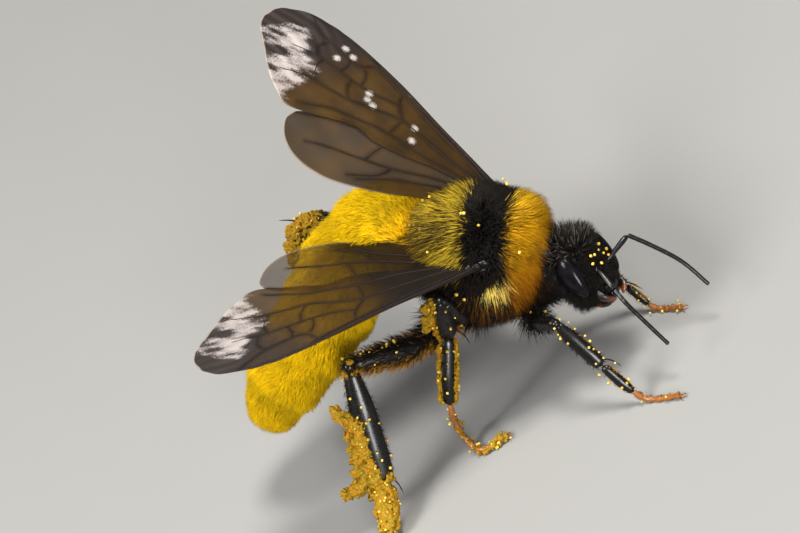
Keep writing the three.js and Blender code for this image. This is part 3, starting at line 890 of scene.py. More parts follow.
def skin_piece():
    """Head, thorax and abdomen as one closed skin."""
    lumps = [ball(BODY, centre, radii) for centre, radii in BODY_LUMPS]
    lumps += [ball(HEAD, centre, radii) for centre, radii in HEAD_LUMPS]
    wide, high = ABDOMEN_SECTION
    for share in np.linspace(0.02, 0.94, ABDOMEN_BEADS):
        radius = float(abdomen_radius(share))
        turn = Matrix(abdomen_axes(share)).transposed().to_4x4()
        bead = BODY @ Matrix.Translation(ABDOMEN.at(share)) @ turn
        lumps.append(ball(bead, (0, 0, 0), (radius, radius * wide, radius * high)))
    skin = joined(lumps)
    apply_modifier(skin, "REMESH", mode="VOXEL", voxel_size=SKIN_GRID)
    apply_modifier(skin, "SMOOTH", factor=0.5, iterations=14)
    points = places_of(skin)
    share, on_abdomen = abdomen_share(points)
    middle = moved(ABDOMEN.at(share), BODY)
    step = RING_STEP[0] * ramp(ring_share(share), 0.0, 0.9) + RING_STEP[1]
    points += unit(points - middle) * (step * on_abdomen)[:, None]
    put_places(skin, points)
    return skin


def thinness(points):
    """Where the coat is thin enough for dark skin to show: the rear and the sides of the thorax."""
    own = in_frame(points, BODY)
    _, on_abdomen = abdomen_share(points)
    thin = np.maximum(ramp(-own[:, 0], 0.2, 0.7), ramp(-own[:, 2], -0.3, 0.5))
    return np.where(on_abdomen, 0.15, thin)


class BEE_OT_skin(Operator):
    """Make the skin of head, thorax and abdomen as one piece"""

    bl_idname = "bee.skin"
    bl_label = "Skin"

    def execute(self, context):
        skin = skin_piece()
        paint = markings(places_of(skin), context.scene.bee_colours)
        store(skin, "coat", np.column_stack((paint, np.ones(len(paint)))))
        store(skin, "thin", thinness(places_of(skin)))
        flesh = ["prothorax", "mesothorax", "propodeum", "head"]
        flesh += [f"abdomen_ring_{i + 1}" for i in range(ABDOMEN_RINGS)]
        settle(skin, "body_skin", skin_material(), flesh)
        return {"FINISHED"}


# Head

def both(place, side):
    """A place on the left, or its mirror image on the right."""
    return (place[0], SIDES[side] * place[1], place[2])


def eye_piece(side):
    """One compound eye, narrower towards the jaw."""
    eye = ball(Matrix.Identity(4), (0, 0, 0), EYE_RADII, 48, 32)
    places = places_of(eye)
    places[:, 0] *= 1 + 0.14 * places[:, 2] / EYE_RADII[2]
    places[:, 0] += 0.1 * (places[:, 2] / EYE_RADII[2]) ** 2
    put_places(eye, moved(places + both(EYE_CENTRE, side), HEAD))
    return eye


def feeler_pieces(side):
    """Scape, then the whip with its joints."""
    tip = moved([SCAPE_TIPS[side]], HEAD)[0]
    socket = moved([both(SOCKET, side)], HEAD)[0]
    inner = moved([both(SOCKET_DEPTH, side)], HEAD)[0]
    scape = drawn_out(Route((inner, socket, tip)), SCAPE_WIDTHS, ends=12)
    cup = ball(Matrix.Translation(socket), (0, 0, 0), (0.15, 0.15, 0.13), 16, 10)
    route = Route([tip, *moved(FEELER_BENDS[side], HEAD)])
    shares = np.linspace(0, 1, FEELER_JOINTS * 8 + 1)
    waist = np.abs(np.mod(shares * FEELER_JOINTS + 0.5, 1) - 0.5)
    widths = WHIP_WIDTH * (0.92 + 0.08 * ramp(waist, 0.0, 0.14)) * (1 - 0.12 * shares)
    whip = drawn_out(route, list(zip(shares, widths)), 14, FEELER_JOINTS * 10, ends=30)
    return joined([scape, cup]), whip


def mouth_pieces():
    """Two jaws, and the folded tongue with its sheaths."""
    jaws = {}
    flat_side = turned([(1, 0, 0)], HEAD)[0]
    for side in SIDES:
        bends = [both(bend, side) for bend in ((0.25, 0.82, -1.1), (0.47, 0.76, -1.62), (0.6, 0.3, -1.98))]
        jaws[side] = drawn_out(Route(moved(bends, HEAD)), JAW_WIDTHS, side=flat_side, flat=0.6)
    strands = []
    for offset, width in TONGUE_STRANDS:
        bends = ((0.22, offset, -1.4), (0.08, offset, -1.86), (-0.45, offset, -1.84), (-0.95, offset, -1.4))
        widths = ((0, width), (0.7, width * 0.9), (1, width * 0.4))
        strands.append(drawn_out(Route(moved(bends, HEAD)), widths))
    return jaws, joined(strands)


class BEE_OT_head(Operator):
    """Make eyes, feelers, jaws and tongue"""

    bl_idname = "bee.head"
    bl_label = "Head"

    def execute(self, context):
        colours = context.scene.bee_colours
        shell = shell_material("feeler_shell", colours, dull=0.14)
        eye, jaw = eye_material(), jaw_material(colours)
        for side in SIDES:
            settle(eye_piece(side), f"compound_eye_{side}", eye, [f"eye_{side}"])
            scape, whip = feeler_pieces(side)
            settle(scape, f"feeler_scape_{side}", shell, [f"antenna_scape_{side}"])
            settle(whip, f"feeler_whip_{side}", shell, [f"antenna_flagellum_{side}"])
        jaws, tongue = mouth_pieces()
        for side, piece in jaws.items():
            settle(piece, f"jaw_{side}", jaw, [f"mandible_{side}"])
        settle(tongue, "tongue", jaw, ["proboscis"])
        face = [ball(HEAD, *FACE_PLATE, 32, 20), ball(HEAD, *LIP, 20, 12)]
        settle(joined(face), "face_plate", shell, ["clypeus"])
        ocelli = [ball(HEAD, spot, (OCELLUS_RADIUS,) * 3, 16, 12) for spot in OCELLI]
        settle(joined(ocelli), "ocelli", ocellus_material())
        return {"FINISHED"}


# Legs

def edge_of(name, way):
    """Direction of a leg's two narrow edges; its broad face looks out to its own side."""
    return unit(np.cross(way, (0.35, SIDES[name.split("_")[1]], 0.2)))


def edge_share(name, normals, distal):
    """How far each place on a leg is towards one of its narrow edges."""
    return np.abs((normals * edge_of(name, unit(distal + 1e-6))).sum(1))


def foot_bulges(shares):
    """Four small joints and the last long one swell towards their far ends."""
    beads = np.mod(shares * 5, 1)
    return 0.12 + 0.06 * ramp(beads, 0.1, 0.95) * (1 - 0.25 * shares)


def hook(start, way, spread):
    """A curved claw."""
    tip = start + way * 0.26 + spread * 0.15 + np.array((0, 0, -CLAW_DROP))
    route = Route((start, start + way * 0.16 + spread * 0.1, tip))
    return drawn_out(route, ((0, 0.05), (0.6, 0.04), (1, 0.012)), 8, 8, segment=SEGMENTS["claw"])


def spur(ankle, way, side, length):
    """A thin spine at the end of a shin."""
    bends = (ankle, ankle + (way * 0.8 + side * 0.6) * length * 0.5, ankle + (way + side * 0.45) * length)
    return drawn_out(Route(bends), ((0, 0.05), (0.6, 0.035), (1, 0.012)), 6, 8, segment=SEGMENTS["spur"])


def limb(route, profile, half, sides, rings, part, side=(0, 1, 0), flat=1.0, ends=8):
    """One part of a leg, from a profile that is measured in the part's half width."""
    widths = [(share, width * half) for share, width in profile]
    return drawn_out(route, widths, sides, rings, side, flat, ends, SEGMENTS[part])


def leg_piece(name):
    """A whole leg: hip, thigh, shin with its spurs, heel, five toe joints and two claws."""
    row, hand = name.split("_")
    thigh, shin, heel = LEG_BUILDS[row]
    joints = moved(LEGS[name], FLOOR)
    hip, bend, knee, ankle = joints[:4]
    inner = hip + (np.array(THORAX) - hip) * HIP_DEPTH
    down = unit(ankle - knee)
    across = edge_of(name, down)
    foot = Route(joints[3:])
    first = Route(foot.at(np.linspace(0, HEEL_SHARE, 6)))
    toes = Route(foot.at(np.linspace(HEEL_SHARE - 0.01, 0.99, 14)))
    sole = edge_of(name, unit(first.at(1.0) - ankle))
    shares = np.linspace(0, 1, 51)
    upper = edge_of(name, unit(knee - hip))
    lower = Route((knee, (knee + ankle) / 2, ankle))
    pieces = [
        limb(Route((inner, (inner + hip) / 2, hip)), HIP_PROFILE, thigh, 16, 12, "thigh"),
        limb(Route((hip, bend, knee)), THIGH_PROFILE, thigh, 18, 22, "thigh", upper, 0.95, 10),
        ball(Matrix.Translation(knee), (0, 0, 0), (thigh * 0.58,) * 3, 14, 10),
        limb(lower, SHIN_PROFILE, shin, 20, 22, "shin", across, 0.95 if row == "mid" else 0.62, 12),
        limb(first, HEEL_PROFILE, heel, 18, 18, "heel", sole, 0.68, 10),
        limb(toes, zip(shares, foot_bulges(shares)), 1, 12, 50, "toes", sole, 0.9, 20),
    ]
    tip, way = foot.at(0.985), foot.way(1.0)
    spread = unit(np.cross(way, (0, 0, 1)))
    pieces += [hook(tip, way, spread * s) for s in (-1, 1)]
    for s in SPURS[row]:
        outward = across * s * SIDES[hand]
        root = ankle - down * 0.3 + outward * shin * 0.5
        pieces.append(spur(root, down, outward, 1.4 if row == "mid" else 0.95))
    leg = joined(pieces)
    places = places_of(leg)
    places[:, 2] = np.maximum(places[:, 2], SOLE_HEIGHT)
    put_places(leg, places)
    store(leg, "dust", dustiness(name, leg))
    return leg


def dustiness(name, leg):
    """How thickly pollen clings along a leg, mostly at its two narrow edges."""
    segment, share = stored(leg, "segment"), stored(leg, "share")
    normals = normals_of(leg)
    edge = edge_share(name, normals, stored(leg, "distal", 3))
    behind = -normals[:, 0] + 0.3 * normals[:, 2]
    full = np.ones(len(edge))
    if name == "hind_right":
        shin = (
            0.1 + ramp(behind, -0.5, 0.3) * ramp(share, 0.28, 0.5)
            + 0.5 * ramp(share, 0.75, 1.0) + 0.7 * (share < 0.06)
        )
        dusts = (0.3 * edge, shin, full, 0.7 * full)
    elif name == "hind_left":
        dusts = (0.12 * edge, ramp(share, 0.55, 0.8), full, 0.5 * full)
    elif name == "mid_right":
        rear = ramp(behind, 0.05, 0.6)
        heel, toes = 0.12 + 0.85 * ramp(edge, 0.4, 0.85), 0.5 + 0.25 * ramp(share, 0.6, 0.9)
        dusts = (0.9 * rear, 0.1 + 0.9 * rear * edge, heel, toes)
    else:
        dusts = (0.08 * edge, 0.1 + 0.2 * edge, 0.15 + 0.45 * edge, 0.25 * full)
    return np.select([segment == number for number in (1, 2, 3, 4)], dusts, 0.0)


class BEE_OT_legs(Operator):
    """Make six legs with spurs and claws"""

    bl_idname = "bee.legs"
    bl_label = "Legs"

    def execute(self, context):
        shell = shell_material("leg_shell", context.scene.bee_colours, dusted=True)
        for name in LEGS:
            parts = [f"leg_{name}_{part}" for part in ("femur", "tibia", "tarsus")]
            settle(leg_piece(name), f"leg_{name}", shell, parts)
        return {"FINISHED"}


# Wings

def outline_edges(outline):
    """The front and rear edges of a wing, as how far back each is at a place along it."""
    places = Route(outline, 24, closed=True).places
    start, end = np.argmin(places[:, 0]), np.argmax(places[:, 0])
    ring = np.roll(places[:-1], -start, axis=0)
    turn = (end - start) % len(ring)
    front, rear = ring[: turn + 1], ring[turn:][::-1]
    return front, rear


def edge_back(edge, along):
    """How far back an edge is at places along the wing."""
    order = np.argsort(edge[:, 0])
    return np.interp(along, edge[order, 0], edge[order, 1])


def wing_height(along, back, hind):
    """How a wing bows and pleats, in millimetres; the hindwing hangs just under the forewing."""
    bow = 0.18 * np.sin(math.pi * np.clip(along, 0, 1)) - 1.2 * (back - 0.1) ** 2
    folds = 0.016 * np.sin(back * 58 + along * 8) * ramp(along, 0.15, 0.5)
    ripples = 0.016 * np.sin(back * 150 + 4 * np.sin(along * 17) + along * 24) * ramp(along, 0.66, 0.84)
    return bow + folds + ripples - (0.07 if hind else 0.0)


def vein_distance(along, back, veins):
    """Distance to the nearest vein, as a share of the forewing's length."""
    gap = np.full(along.shape, np.inf)
    for _, _, bends in veins:
        for place in Route(bends, 10).places:
            gap = np.minimum(gap, np.hypot(along - place[0], back - place[1]))
    return gap


def membrane_piece(side, kind, thickness):
    """A wing's skin, drawn from a flat grid between its front and rear edges."""
    outline, veins, (columns, rows) = WINGS[kind]
    hind = kind == "hindwing"
    bpy.ops.object.select_all(action="DESELECT")
    bpy.ops.mesh.primitive_grid_add(x_subdivisions=columns, y_subdivisions=rows, size=2)
    piece = bpy.context.object
    grid = places_of(piece)
    front, rear = outline_edges(outline)
    low, high = front[:, 0].min() + 0.002, front[:, 0].max() - 0.0005
    along = low + (high - low) * (1 - np.cos(math.pi * (grid[:, 0] + 1) / 2)) / 2
    lead, trail = edge_back(front, along), edge_back(rear, along)
    back = lead + (trail - lead) * (1 - grid[:, 1]) / 2
    flat = np.column_stack((along, back))
    height = wing_height(along, back, hind)
    put_places(piece, moved(np.column_stack((flat * FOREWING_LENGTH, height)), wing_frame(side)))
    for name, values in wing_marks(side, hind, along, back, lead, trail, high, veins).items():
        store(piece, name, values)
    layer = piece.data.uv_layers.new(name="along_wing")
    corner = np.zeros(len(piece.data.loops), np.int32)
    piece.data.loops.foreach_get("vertex_index", corner)
    layer.data.foreach_set("uv", flat[corner].astype(np.float32).ravel())
    apply_modifier(piece, "SOLIDIFY", thickness=thickness / MM, offset=0.0)
    face_outward()
    return piece


def wing_marks(side, hind, along, back, lead, trail, end, veins):
    """What the wing's material reads on every vertex, each from 0 to about 1."""
    to_edge = np.minimum(trail - back, (end - along) * 1.2)
    rim = (1 - ramp(to_edge, 0.002, 0.006)) * ramp(along, *((0.15, 0.35) if hind else (0.62, 0.7)))
    gap = vein_distance(along, back, veins)
    reach, depth = (0.42, 0.95) if hind else (0.47, 1.0)
    # Where the painted silvery reflection lies: inside the outer margin, weaker towards the tip
    sheen_patches = (1 - ramp(to_edge, 0.15, 0.27)) * ramp(along, 0.6, 0.72) * ramp(back - lead, 0.04, 0.1)
    sheen_patches *= 1 - 0.85 * ramp(along - 0.3 * back, 0.87, 0.93)
    # Painted glints at a few spots of the left forewing
    glint = np.zeros(len(along))
    for spot in GLINTS if side == "left" and not hind else ():
        glint = np.maximum(glint, np.exp(-((np.hypot(along - spot[0], back - spot[1]) / GLINT_REACH) ** 2)))
    return {
        "outer": ramp(along, 0.35, 0.56) * 0.3 if hind else ramp(along - 0.35 * back, 0.52, 0.74),
        "rim": rim * 0.8,
        "near_vein": 1 - 0.6 * ramp(gap, 0.0, 0.006) - 0.4 * ramp(gap, 0.004, 0.018),
        "clear": np.full(len(along), CLEARNESS[side, hind]),
        "smoke": ramp(reach - along, 0.0, 0.2) * depth * (1.0 if side == "right" else 0.3),
        "sheen_patches": sheen_patches * (0.12 if hind else 1.0),
        "glint": glint,
    }


def veins_piece(side, kind):
    """The veins of one wing, round and standing a little proud of its skin."""
    matrix = wing_frame(side)
    hind = kind == "hindwing"
    above = turned([(0, 0, 1)], matrix)[0]
    tubes = []
    for root, tip, bends in WINGS[kind][1]:
        bends = Route(bends, 12).places
        height = wing_height(bends[:, 0], bends[:, 1], hind)
        line = Route(moved(np.column_stack((bends * FOREWING_LENGTH, height)), matrix), 2)
        rings = max(10, int(line.length * 7))
        tubes.append(drawn_out(line, ((0, root * 1.1), (1, tip * 1.1 + 0.008)), 8, rings, above, 0.8, 14))
    if not hind:
        place = np.array(STIGMA)
        centre = (*(place * FOREWING_LENGTH), float(wing_height(*place, hind)))
        tubes.append(ball(matrix, centre, STIGMA_RADII, 20, 12))
    return joined(tubes)


def cap_piece(side):
    """The cap over a wing's root, and the bare knuckles beside it."""
    centre, radii = CAP
    lean = Matrix.Rotation(-SIDES[side] * CAP_LEAN, 4, "X")
    cap = ball(BODY @ Matrix.Translation(both(centre, side)) @ lean, (0, 0, 0), radii, 32, 20)
    return joined([cap] + [ball(BODY, both(centre, side), radii, 20, 12) for centre, radii in KNUCKLES])


class BEE_OT_wings(Operator):
    """Make the wings, their veins and the caps over their roots"""

    bl_idname = "bee.wings"
    bl_label = "Wings"

    def execute(self, context):
        colours = context.scene.bee_colours
        skin, vein = membrane_material(colours), vein_material()
        shell = shell_material("cap_shell", colours, dull=0.16)
        thickness = context.scene.bee_sizes.membrane
        for side in SIDES:
            for kind in WINGS:
                sheet = membrane_piece(side, kind, thickness)
                settle(sheet, f"{kind}_membrane_{side}", skin, [f"{kind}_{side}"])
                settle(veins_piece(side, kind), f"{kind}_veins_{side}", vein)
            settle(cap_piece(side), f"wing_cap_{side}", shell, [f"tegula_{side}"])
        return {"FINISHED"}


# Coat
SEEDS = {"thorax": 3, "abdomen": 5, "head": 7, "bristles": 11, "pollen": 17}
RUFFLE = 0.22  # how far tufts stray from their lie
ROOT_DEPTH = 0.04  # how deep a tuft is rooted
LEAST_TONE, MOST_TONE = 0.35, 1.6
BRISTLE_SHARES = (0.3, 0.4, 0.5, 0.45)  # how densely thigh, shin, heel and toes are set with bristles
BRISTLE_LENGTHS = (0.42, 0.3, 0.24, 0.14)
BRISTLES_CLEAR, GRAINS_CLEAR = 2.4, 2.7  # nothing grows or clings on a leg nearer to the thorax's middle
BRISTLE_BROWN = (0.5, 0.42, 0.8)  # factors on golden
BRISTLE_YELLOW = (2.0, 1.3, 1.5)  # factors on pollen
THORAX_TUFTS, ABDOMEN_TUFTS, HEAD_TUFTS, LEG_TUFTS = 620, 520, 640, 170.0  # on each square millimetre


def evenly(density):
    """The same density all over a piece."""
    return lambda places: np.full(len(places), density)


def picked(arrays, pick):
    return [each[pick] for each in arrays]


def sampled(piece, rng, density, kept=()):
    """Random places on a piece in millimetres, with normals and the vertex values asked for."""
    mesh = piece.data
    mesh.calc_loop_triangles()
    corners = np.zeros(len(mesh.loop_triangles) * 3, np.int32)
    mesh.loop_triangles.foreach_get("vertices", corners)
    corners = np.sort(corners.reshape(-1, 3), axis=1)
    corners = corners[np.lexsort(corners.T[::-1])]  # the same order at every run
    places = places_of(piece) / MM
    a, b, c = (places[corners[:, i]] for i in range(3))
    area = np.linalg.norm(np.cross(b - a, c - a), axis=1) / 2
    count = np.floor(area * density((a + b + c) / 3) + rng.random(len(area))).astype(int)
    chosen = np.repeat(corners, count, axis=0)
    share = rng.random((len(chosen), 2))
    over = share.sum(1) > 1
    share[over] = 1 - share[over]
    weight = np.column_stack((1 - share.sum(1), share))

    def blend(values):
        values = values[:, None] if values.ndim == 1 else values
        return (values[chosen] * weight[:, :, None]).sum(1)

    extra = [blend(stored(piece, name, width)) for name, width in kept]
    return blend(places), unit(blend(normals_of(piece))), extra


def gathered(roots, tips, rng, share, pull):
    """Tips drawn together into wisps, one for each share of the tufts; also the wisp of each tuft."""
    count = max(2, int(len(roots) * share))
    seeds = rng.choice(len(roots), count, replace=False)
    tree = KDTree(count)
    for i, seed in enumerate(seeds):
        tree.insert(roots[seed], i)
    tree.balance()
    wisp = np.array([tree.find(root)[1] for root in roots])
    total = np.bincount(wisp, minlength=count)[:, None]
    centre = np.column_stack([np.bincount(wisp, line, count) for line in tips.T]) / np.maximum(total, 1)
    pull = pull * rng.uniform(0.3, 1.25, count)[wisp][:, None]
    return tips + (centre[wisp] - tips) * pull, wisp


# What a wing covers, along it and back across it, and how far below it tufts keep
SHELTER = ((0.8, np.inf), (-0.4, 7.2))
SHELTER_GAP = (0.12, 0.15)  # at the wing, and what each millimetre between root and wing adds


def under_wings(points, roots):
    """Tufts below a wing bend away from it."""
    for side in SIDES:
        matrix = wing_frame(side)
        own, start = in_frame(points, matrix), in_frame(roots, matrix)
        over = start[:, 2] < -0.1
        for axis, (low, high) in enumerate(SHELTER):
            over &= (own[:, axis] > low) & (own[:, axis] < high)
        sunk = np.minimum(own[:, 2], -SHELTER_GAP[0] - SHELTER_GAP[1] * np.clip(-start[:, 2], 0, 1))
        own[:, 2] = np.where(over, sunk, own[:, 2])
        points = moved(own, matrix)
    return points


TUFT_MAP = np.array([(-1, -1), (1, -1), (0, -0.4), (-0.8, 0.2), (0.8, 0.2), (0, 0.5), (0, 1)]) * 0.0015


def tuft_mesh(name, roots, mids, tips, widths, colours, patch):
    """Three-sided curved tufts, joined into one mesh with their colours and their own map."""
    count = len(roots)
    way = unit(tips - roots)
    seed = np.where(np.abs(way[:, 2:]) < 0.9, (0.0, 0.0, 1.0), (1.0, 0.0, 0.0))
    across = unit(np.cross(way, seed))
    up = np.cross(way, across)
    rings = []
    for centre, width in ((roots, 1.0), (mids, 0.82)):
        for corner in range(3):
            angle = 2 * math.pi * corner / 3
            spoke = across * math.cos(angle) + up * math.sin(angle)
            rings.append(centre + spoke * (widths * width / 2)[:, None])
    places = np.stack((*rings, tips), axis=1) * MM
    faces = [(0, 2, 1)]
    for i in range(3):
        j = (i + 1) % 3
        faces += [(i, j, 3 + j), (i, 3 + j, 3 + i), (3 + i, 3 + j, 6)]
    faces = np.array(faces)
    corners = (faces[None] + 7 * np.arange(count)[:, None, None]).ravel()
    mesh = bpy.data.meshes.new(name)
    mesh.vertices.add(count * 7)
    mesh.vertices.foreach_set("co", places.astype(np.float32).ravel())
    mesh.loops.add(len(corners))
    mesh.loops.foreach_set("vertex_index", corners.astype(np.int32))
    mesh.polygons.add(len(corners) // 3)
    mesh.polygons.foreach_set("loop_start", np.arange(0, len(corners), 3, dtype=np.int32))
    mesh.polygons.foreach_set("use_smooth", np.ones(len(corners) // 3, bool))
    layer = mesh.uv_layers.new(name="OFBake")
    spread = np.clip(patch[:, None] * 0.99 + 0.005 + TUFT_MAP, 0, 1).reshape(-1, 2)
    layer.data.foreach_set("uv", spread[corners].astype(np.float32).ravel())
    mesh.update(calc_edges=True)
    mesh.validate()
    piece = linked(name, mesh)
    paint = np.ones((count, 7, 4))
    paint[:, :, :3] = colours[:, (0, 0, 0, 1, 1, 1, 2)]
    store(piece, "coat", paint.reshape(-1, 4))
    return piece


def combed(roots, normals, lie, lean, length, rng, bend):
    """Middle and tip of each tuft: it leaves the skin near its normal and bends over along the lie."""
    lie = lie - normals * (lie * normals).sum(1, keepdims=True)
    stray = rng.normal(0, RUFFLE, roots.shape)
    lie = unit(unit(lie) + stray)

    def step(angle):
        return unit(normals * np.cos(angle)[:, None] + lie * np.sin(angle)[:, None] + stray * 0.5)

    mids = roots + step(lean * (1 - bend)) * (length * 0.52)[:, None]
    return mids, mids + step(lean * (1 + bend)) * (length * 0.48)[:, None]


def grow_tufts(name, coat, tufts, rng, wisps, pull, dark, mottle=1.0, bend=0.32):
    """One coat piece from its roots and how each tuft lies."""
    roots, normals, lie, lean, length, width, paint, patch = tufts
    mids, tips = combed(roots, normals, lie, lean, length, rng, bend)
    tips, wisp = gathered(roots, tips, rng, wisps, pull)
    tips, lock = gathered(roots, tips, rng, wisps / 8, pull * 0.35)
    tone = 1 + mottle * (rng.normal(0, 0.16, wisp.max() + 1)[wisp] + rng.normal(0, 0.1, lock.max() + 1)[lock])
    tone += rng.normal(0, 0.1, len(roots))
    mids, tips = under_wings(mids, roots), under_wings(tips, roots)
    lowest = width / 2 + 0.01
    mids[:, 2], tips[:, 2] = np.maximum(mids[:, 2], lowest), np.maximum(tips[:, 2], lowest)
    # Painted shade deep in the coat: each tuft darker towards its root by dark, and a little lighter at its
    # tip
    dark = np.broadcast_to(dark, len(roots))
    root_shade = np.column_stack((1 - 0.85 * dark, 1 - 0.35 * dark, np.full(len(roots), 1.08)))
    tone = np.clip(tone, LEAST_TONE, MOST_TONE)
    paint = np.clip(paint[:, None] * tone[:, None, None] * root_shade[:, :, None], 0.002, 1)
    piece = tuft_mesh(name, roots - normals * ROOT_DEPTH, mids, tips, width, paint, patch)
    piece.data.materials.append(coat)
    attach(piece, "root")
    return piece


def turn_share(across, ahead):
    """Angle round an axis as a share of a full turn."""
    return np.arctan2(across, ahead) / (2 * math.pi) + 0.5


THORAX_UNWRAP = 6.4  # how much of the body's axis the map covers


def around_body(points):
    """Unwrap of thorax places: round the body's axis, and along it."""
    x, y, z = in_frame(points, BODY).T
    return np.column_stack((turn_share(y, z), np.clip(x / THORAX_UNWRAP + 0.5, 0, 1)))


def around_abdomen(points):
    own = in_frame(points, BODY)
    share, _ = ABDOMEN.nearest(own)
    spoke = own - ABDOMEN.at(share)
    _, left, up = abdomen_axes(share)
    return np.column_stack((turn_share((spoke * left).sum(1), (spoke * up).sum(1)), share))


def around_head(points):
    x, y, z = unit(in_frame(points, HEAD)).T
    return np.column_stack((turn_share(y, x), np.arccos(np.clip(z, -1, 1)) / math.pi))


# Where nothing grows, as centres and radii on the left: face plate, eye, feeler socket and wing cap
BARE_ON_HEAD = (((0.52, 0, -1.3), (0.3, 0.42, 0.3)), (EYE_CENTRE, np.array(EYE_RADII) * 0.98), (SOCKET, 0.17))
BARE_ON_BODY = (((0.55, 2.5, 1.4), (0.36, 0.5, 0.26)),)


def bare_spots(points):
    bare = np.zeros(len(points), bool)
    for frame_of, balls in ((HEAD, BARE_ON_HEAD), (BODY, BARE_ON_BODY)):
        own = in_frame(points, frame_of)
        for centre, radii in balls:
            for side in SIDES:
                bare |= np.linalg.norm((own - both(centre, side)) / radii, axis=1) < 1
    return bare


# Belts of the thorax's coat: start and end along it, painted shade at the roots (how dark they are), pull
# into wisps and mottling
BELTS = {
    "collar": (1.3, 9.0, 0.78, 0.6, 1.2),
    "band": (-0.25, 1.3, 0.2, 0.4, 1.0),
    "rear": (-9.0, -0.25, 0.75, 0.35, 1.1),
}


def thorax_coat(skin, coat, sizes, colours, rng):
    """The thorax's coat in belts: the collar leans ahead, the band stands up, the rear is swept back."""

    def density(points):
        _, on_abdomen = abdomen_share(points)
        body = in_frame(points, BODY)
        fits = ~on_abdomen & ~is_head(points) & ~bare_spots(points)
        below = ramp(-body[:, 2], 0.8, 1.8)
        rear = ramp(-body[:, 0], 0.2, 0.6)
        return np.where(fits, THORAX_TUFTS * (1 - 0.35 * below) * (1 - 0.25 * rear) * sizes.coat_density, 0)

    roots, normals, _ = sampled(skin, rng, density)
    body = in_frame(roots, BODY)
    x, z = body[:, 0], body[:, 2]
    ahead = ramp(x, 0.9, 1.7)
    swept = ramp(-x, 0.0, 0.7)
    below = ramp(-z, -1.2, 0.6)
    lie = np.column_stack((ahead * 0.8 - swept - 0.05, np.zeros(len(x)), -0.3 - 0.9 * below))
    lie[:, 1] = np.sign(body[:, 1]) * (0.35 * ahead + 0.55 * swept * ramp(np.abs(body[:, 1]), 0.2, 1.6))
    lie = turned(lie, BODY)
    crest = ahead * ramp(z + 0.4 * body[:, 1], 0.4, 1.8)
    lean = np.radians(15 + 22 * ahead + 34 * swept + 16 * below - 12 * crest)
    hanging = ramp(-z, 0.0, 0.9)
    length = 0.74 + 0.26 * ahead + 0.42 * swept + 0.2 * below + 0.25 * hanging + 0.3 * crest
    length = sizes.thorax_hair / MM * length * rng.uniform(0.7, 1.12, len(x))
    length *= 1 - 0.3 * ramp(x, 2.6, 3.2)
    width = sizes.hair_width / MM * rng.uniform(0.75, 1.2, len(x)) * (1 + 0.2 * swept)
    paint = markings(roots, colours, rng)
    tufts = (roots, normals, lie, lean, length, width, paint, around_body(roots))
    for belt, (low, high, dark, pull, mottle) in BELTS.items():
        pick = (x >= low) & (x < high)
        # Pale cream tufts get less painted shade at their roots
        dark = np.where(paint[pick, 2] > 0.3, 0.15, dark)
        piece = grow_tufts(f"coat_{belt}", coat, picked(tufts, pick), rng, 0.06, pull, dark, mottle)


def abdomen_coat(skin, coat, sizes, colours, rng):
    """The abdomen's coat in four lengths, combed towards the tip."""

    def density(points):
        return np.where(abdomen_share(points)[1], ABDOMEN_TUFTS * sizes.coat_density, 0)

    roots, normals, _ = sampled(skin, rng, density)
    body = in_frame(roots, BODY)
    share, _ = ABDOMEN.nearest(body)
    lie = turned(ABDOMEN.way(share) + (0, 0, -0.15), BODY)
    edge = ring_share(share)
    lean = np.radians(50 - 6 * ramp(edge, 0.5, 0.9) + rng.normal(0, 5, len(share)))
    length = sizes.tail_hair / MM * (0.82 + 0.2 * ramp(edge, 0.3, 0.9))
    length *= rng.uniform(0.75, 1.12, len(share))
    length *= 1 - 0.35 * ramp(share, 0.82, 1.0)
    width = sizes.hair_width / MM * rng.uniform(0.7, 1.1, len(share))
    paint = markings(roots, colours, rng)
    tufts = (roots, normals, lie, lean, length, width, paint, around_abdomen(roots))
    for number, pick in enumerate(np.array_split(np.argsort(share), 4), 1):
        piece = grow_tufts(f"coat_abdomen_{number}", coat, picked(tufts, pick), rng, 0.03, 0.2, 0.3, 0.7)


def head_coat(skin, coat, sizes, colours, rng):
    """Short black hair on the head: up and ahead on the crown, down the face, back on the cheeks."""

    def density(points):
        return np.where(is_head(points) & ~bare_spots(points), HEAD_TUFTS * sizes.coat_density, 0)

    roots, normals, _ = sampled(skin, rng, density)
    head = in_frame(roots, HEAD)
    face, left, up = head.T
    crown = ramp(up, 0.35, 1.1)
    back = ramp(-face, 0.0, 0.6)
    apart = 0.35 * np.sign(left) * ramp(np.abs(left), 0.2, 0.8)
    lie = turned(np.column_stack((0.3 * crown - 0.1, apart, 0.7 * crown - 0.45)), HEAD)
    lean = np.radians(40 - 20 * crown - 10 * back + rng.normal(0, 8, len(up)))
    length = sizes.face_hair / MM * (0.62 + 0.8 * crown + 0.6 * back) * rng.uniform(0.65, 1.2, len(up))
    width = sizes.hair_width / MM * rng.uniform(0.6, 0.95, len(up))
    paint = markings(roots, colours, rng)
    # Painted highlights: a few tufts on the crown lightened to grey as silvery glints on the black hair
    painted_highlight = (rng.random(len(up)) < 0.12) * crown
    paint += painted_highlight[:, None] * (0.13, 0.12, 0.11)
    tufts = (roots, normals, lie, lean, length, width, paint, around_head(roots))
    piece = grow_tufts("coat_head", coat, tufts, rng, 0.07, 0.5, 0.2)


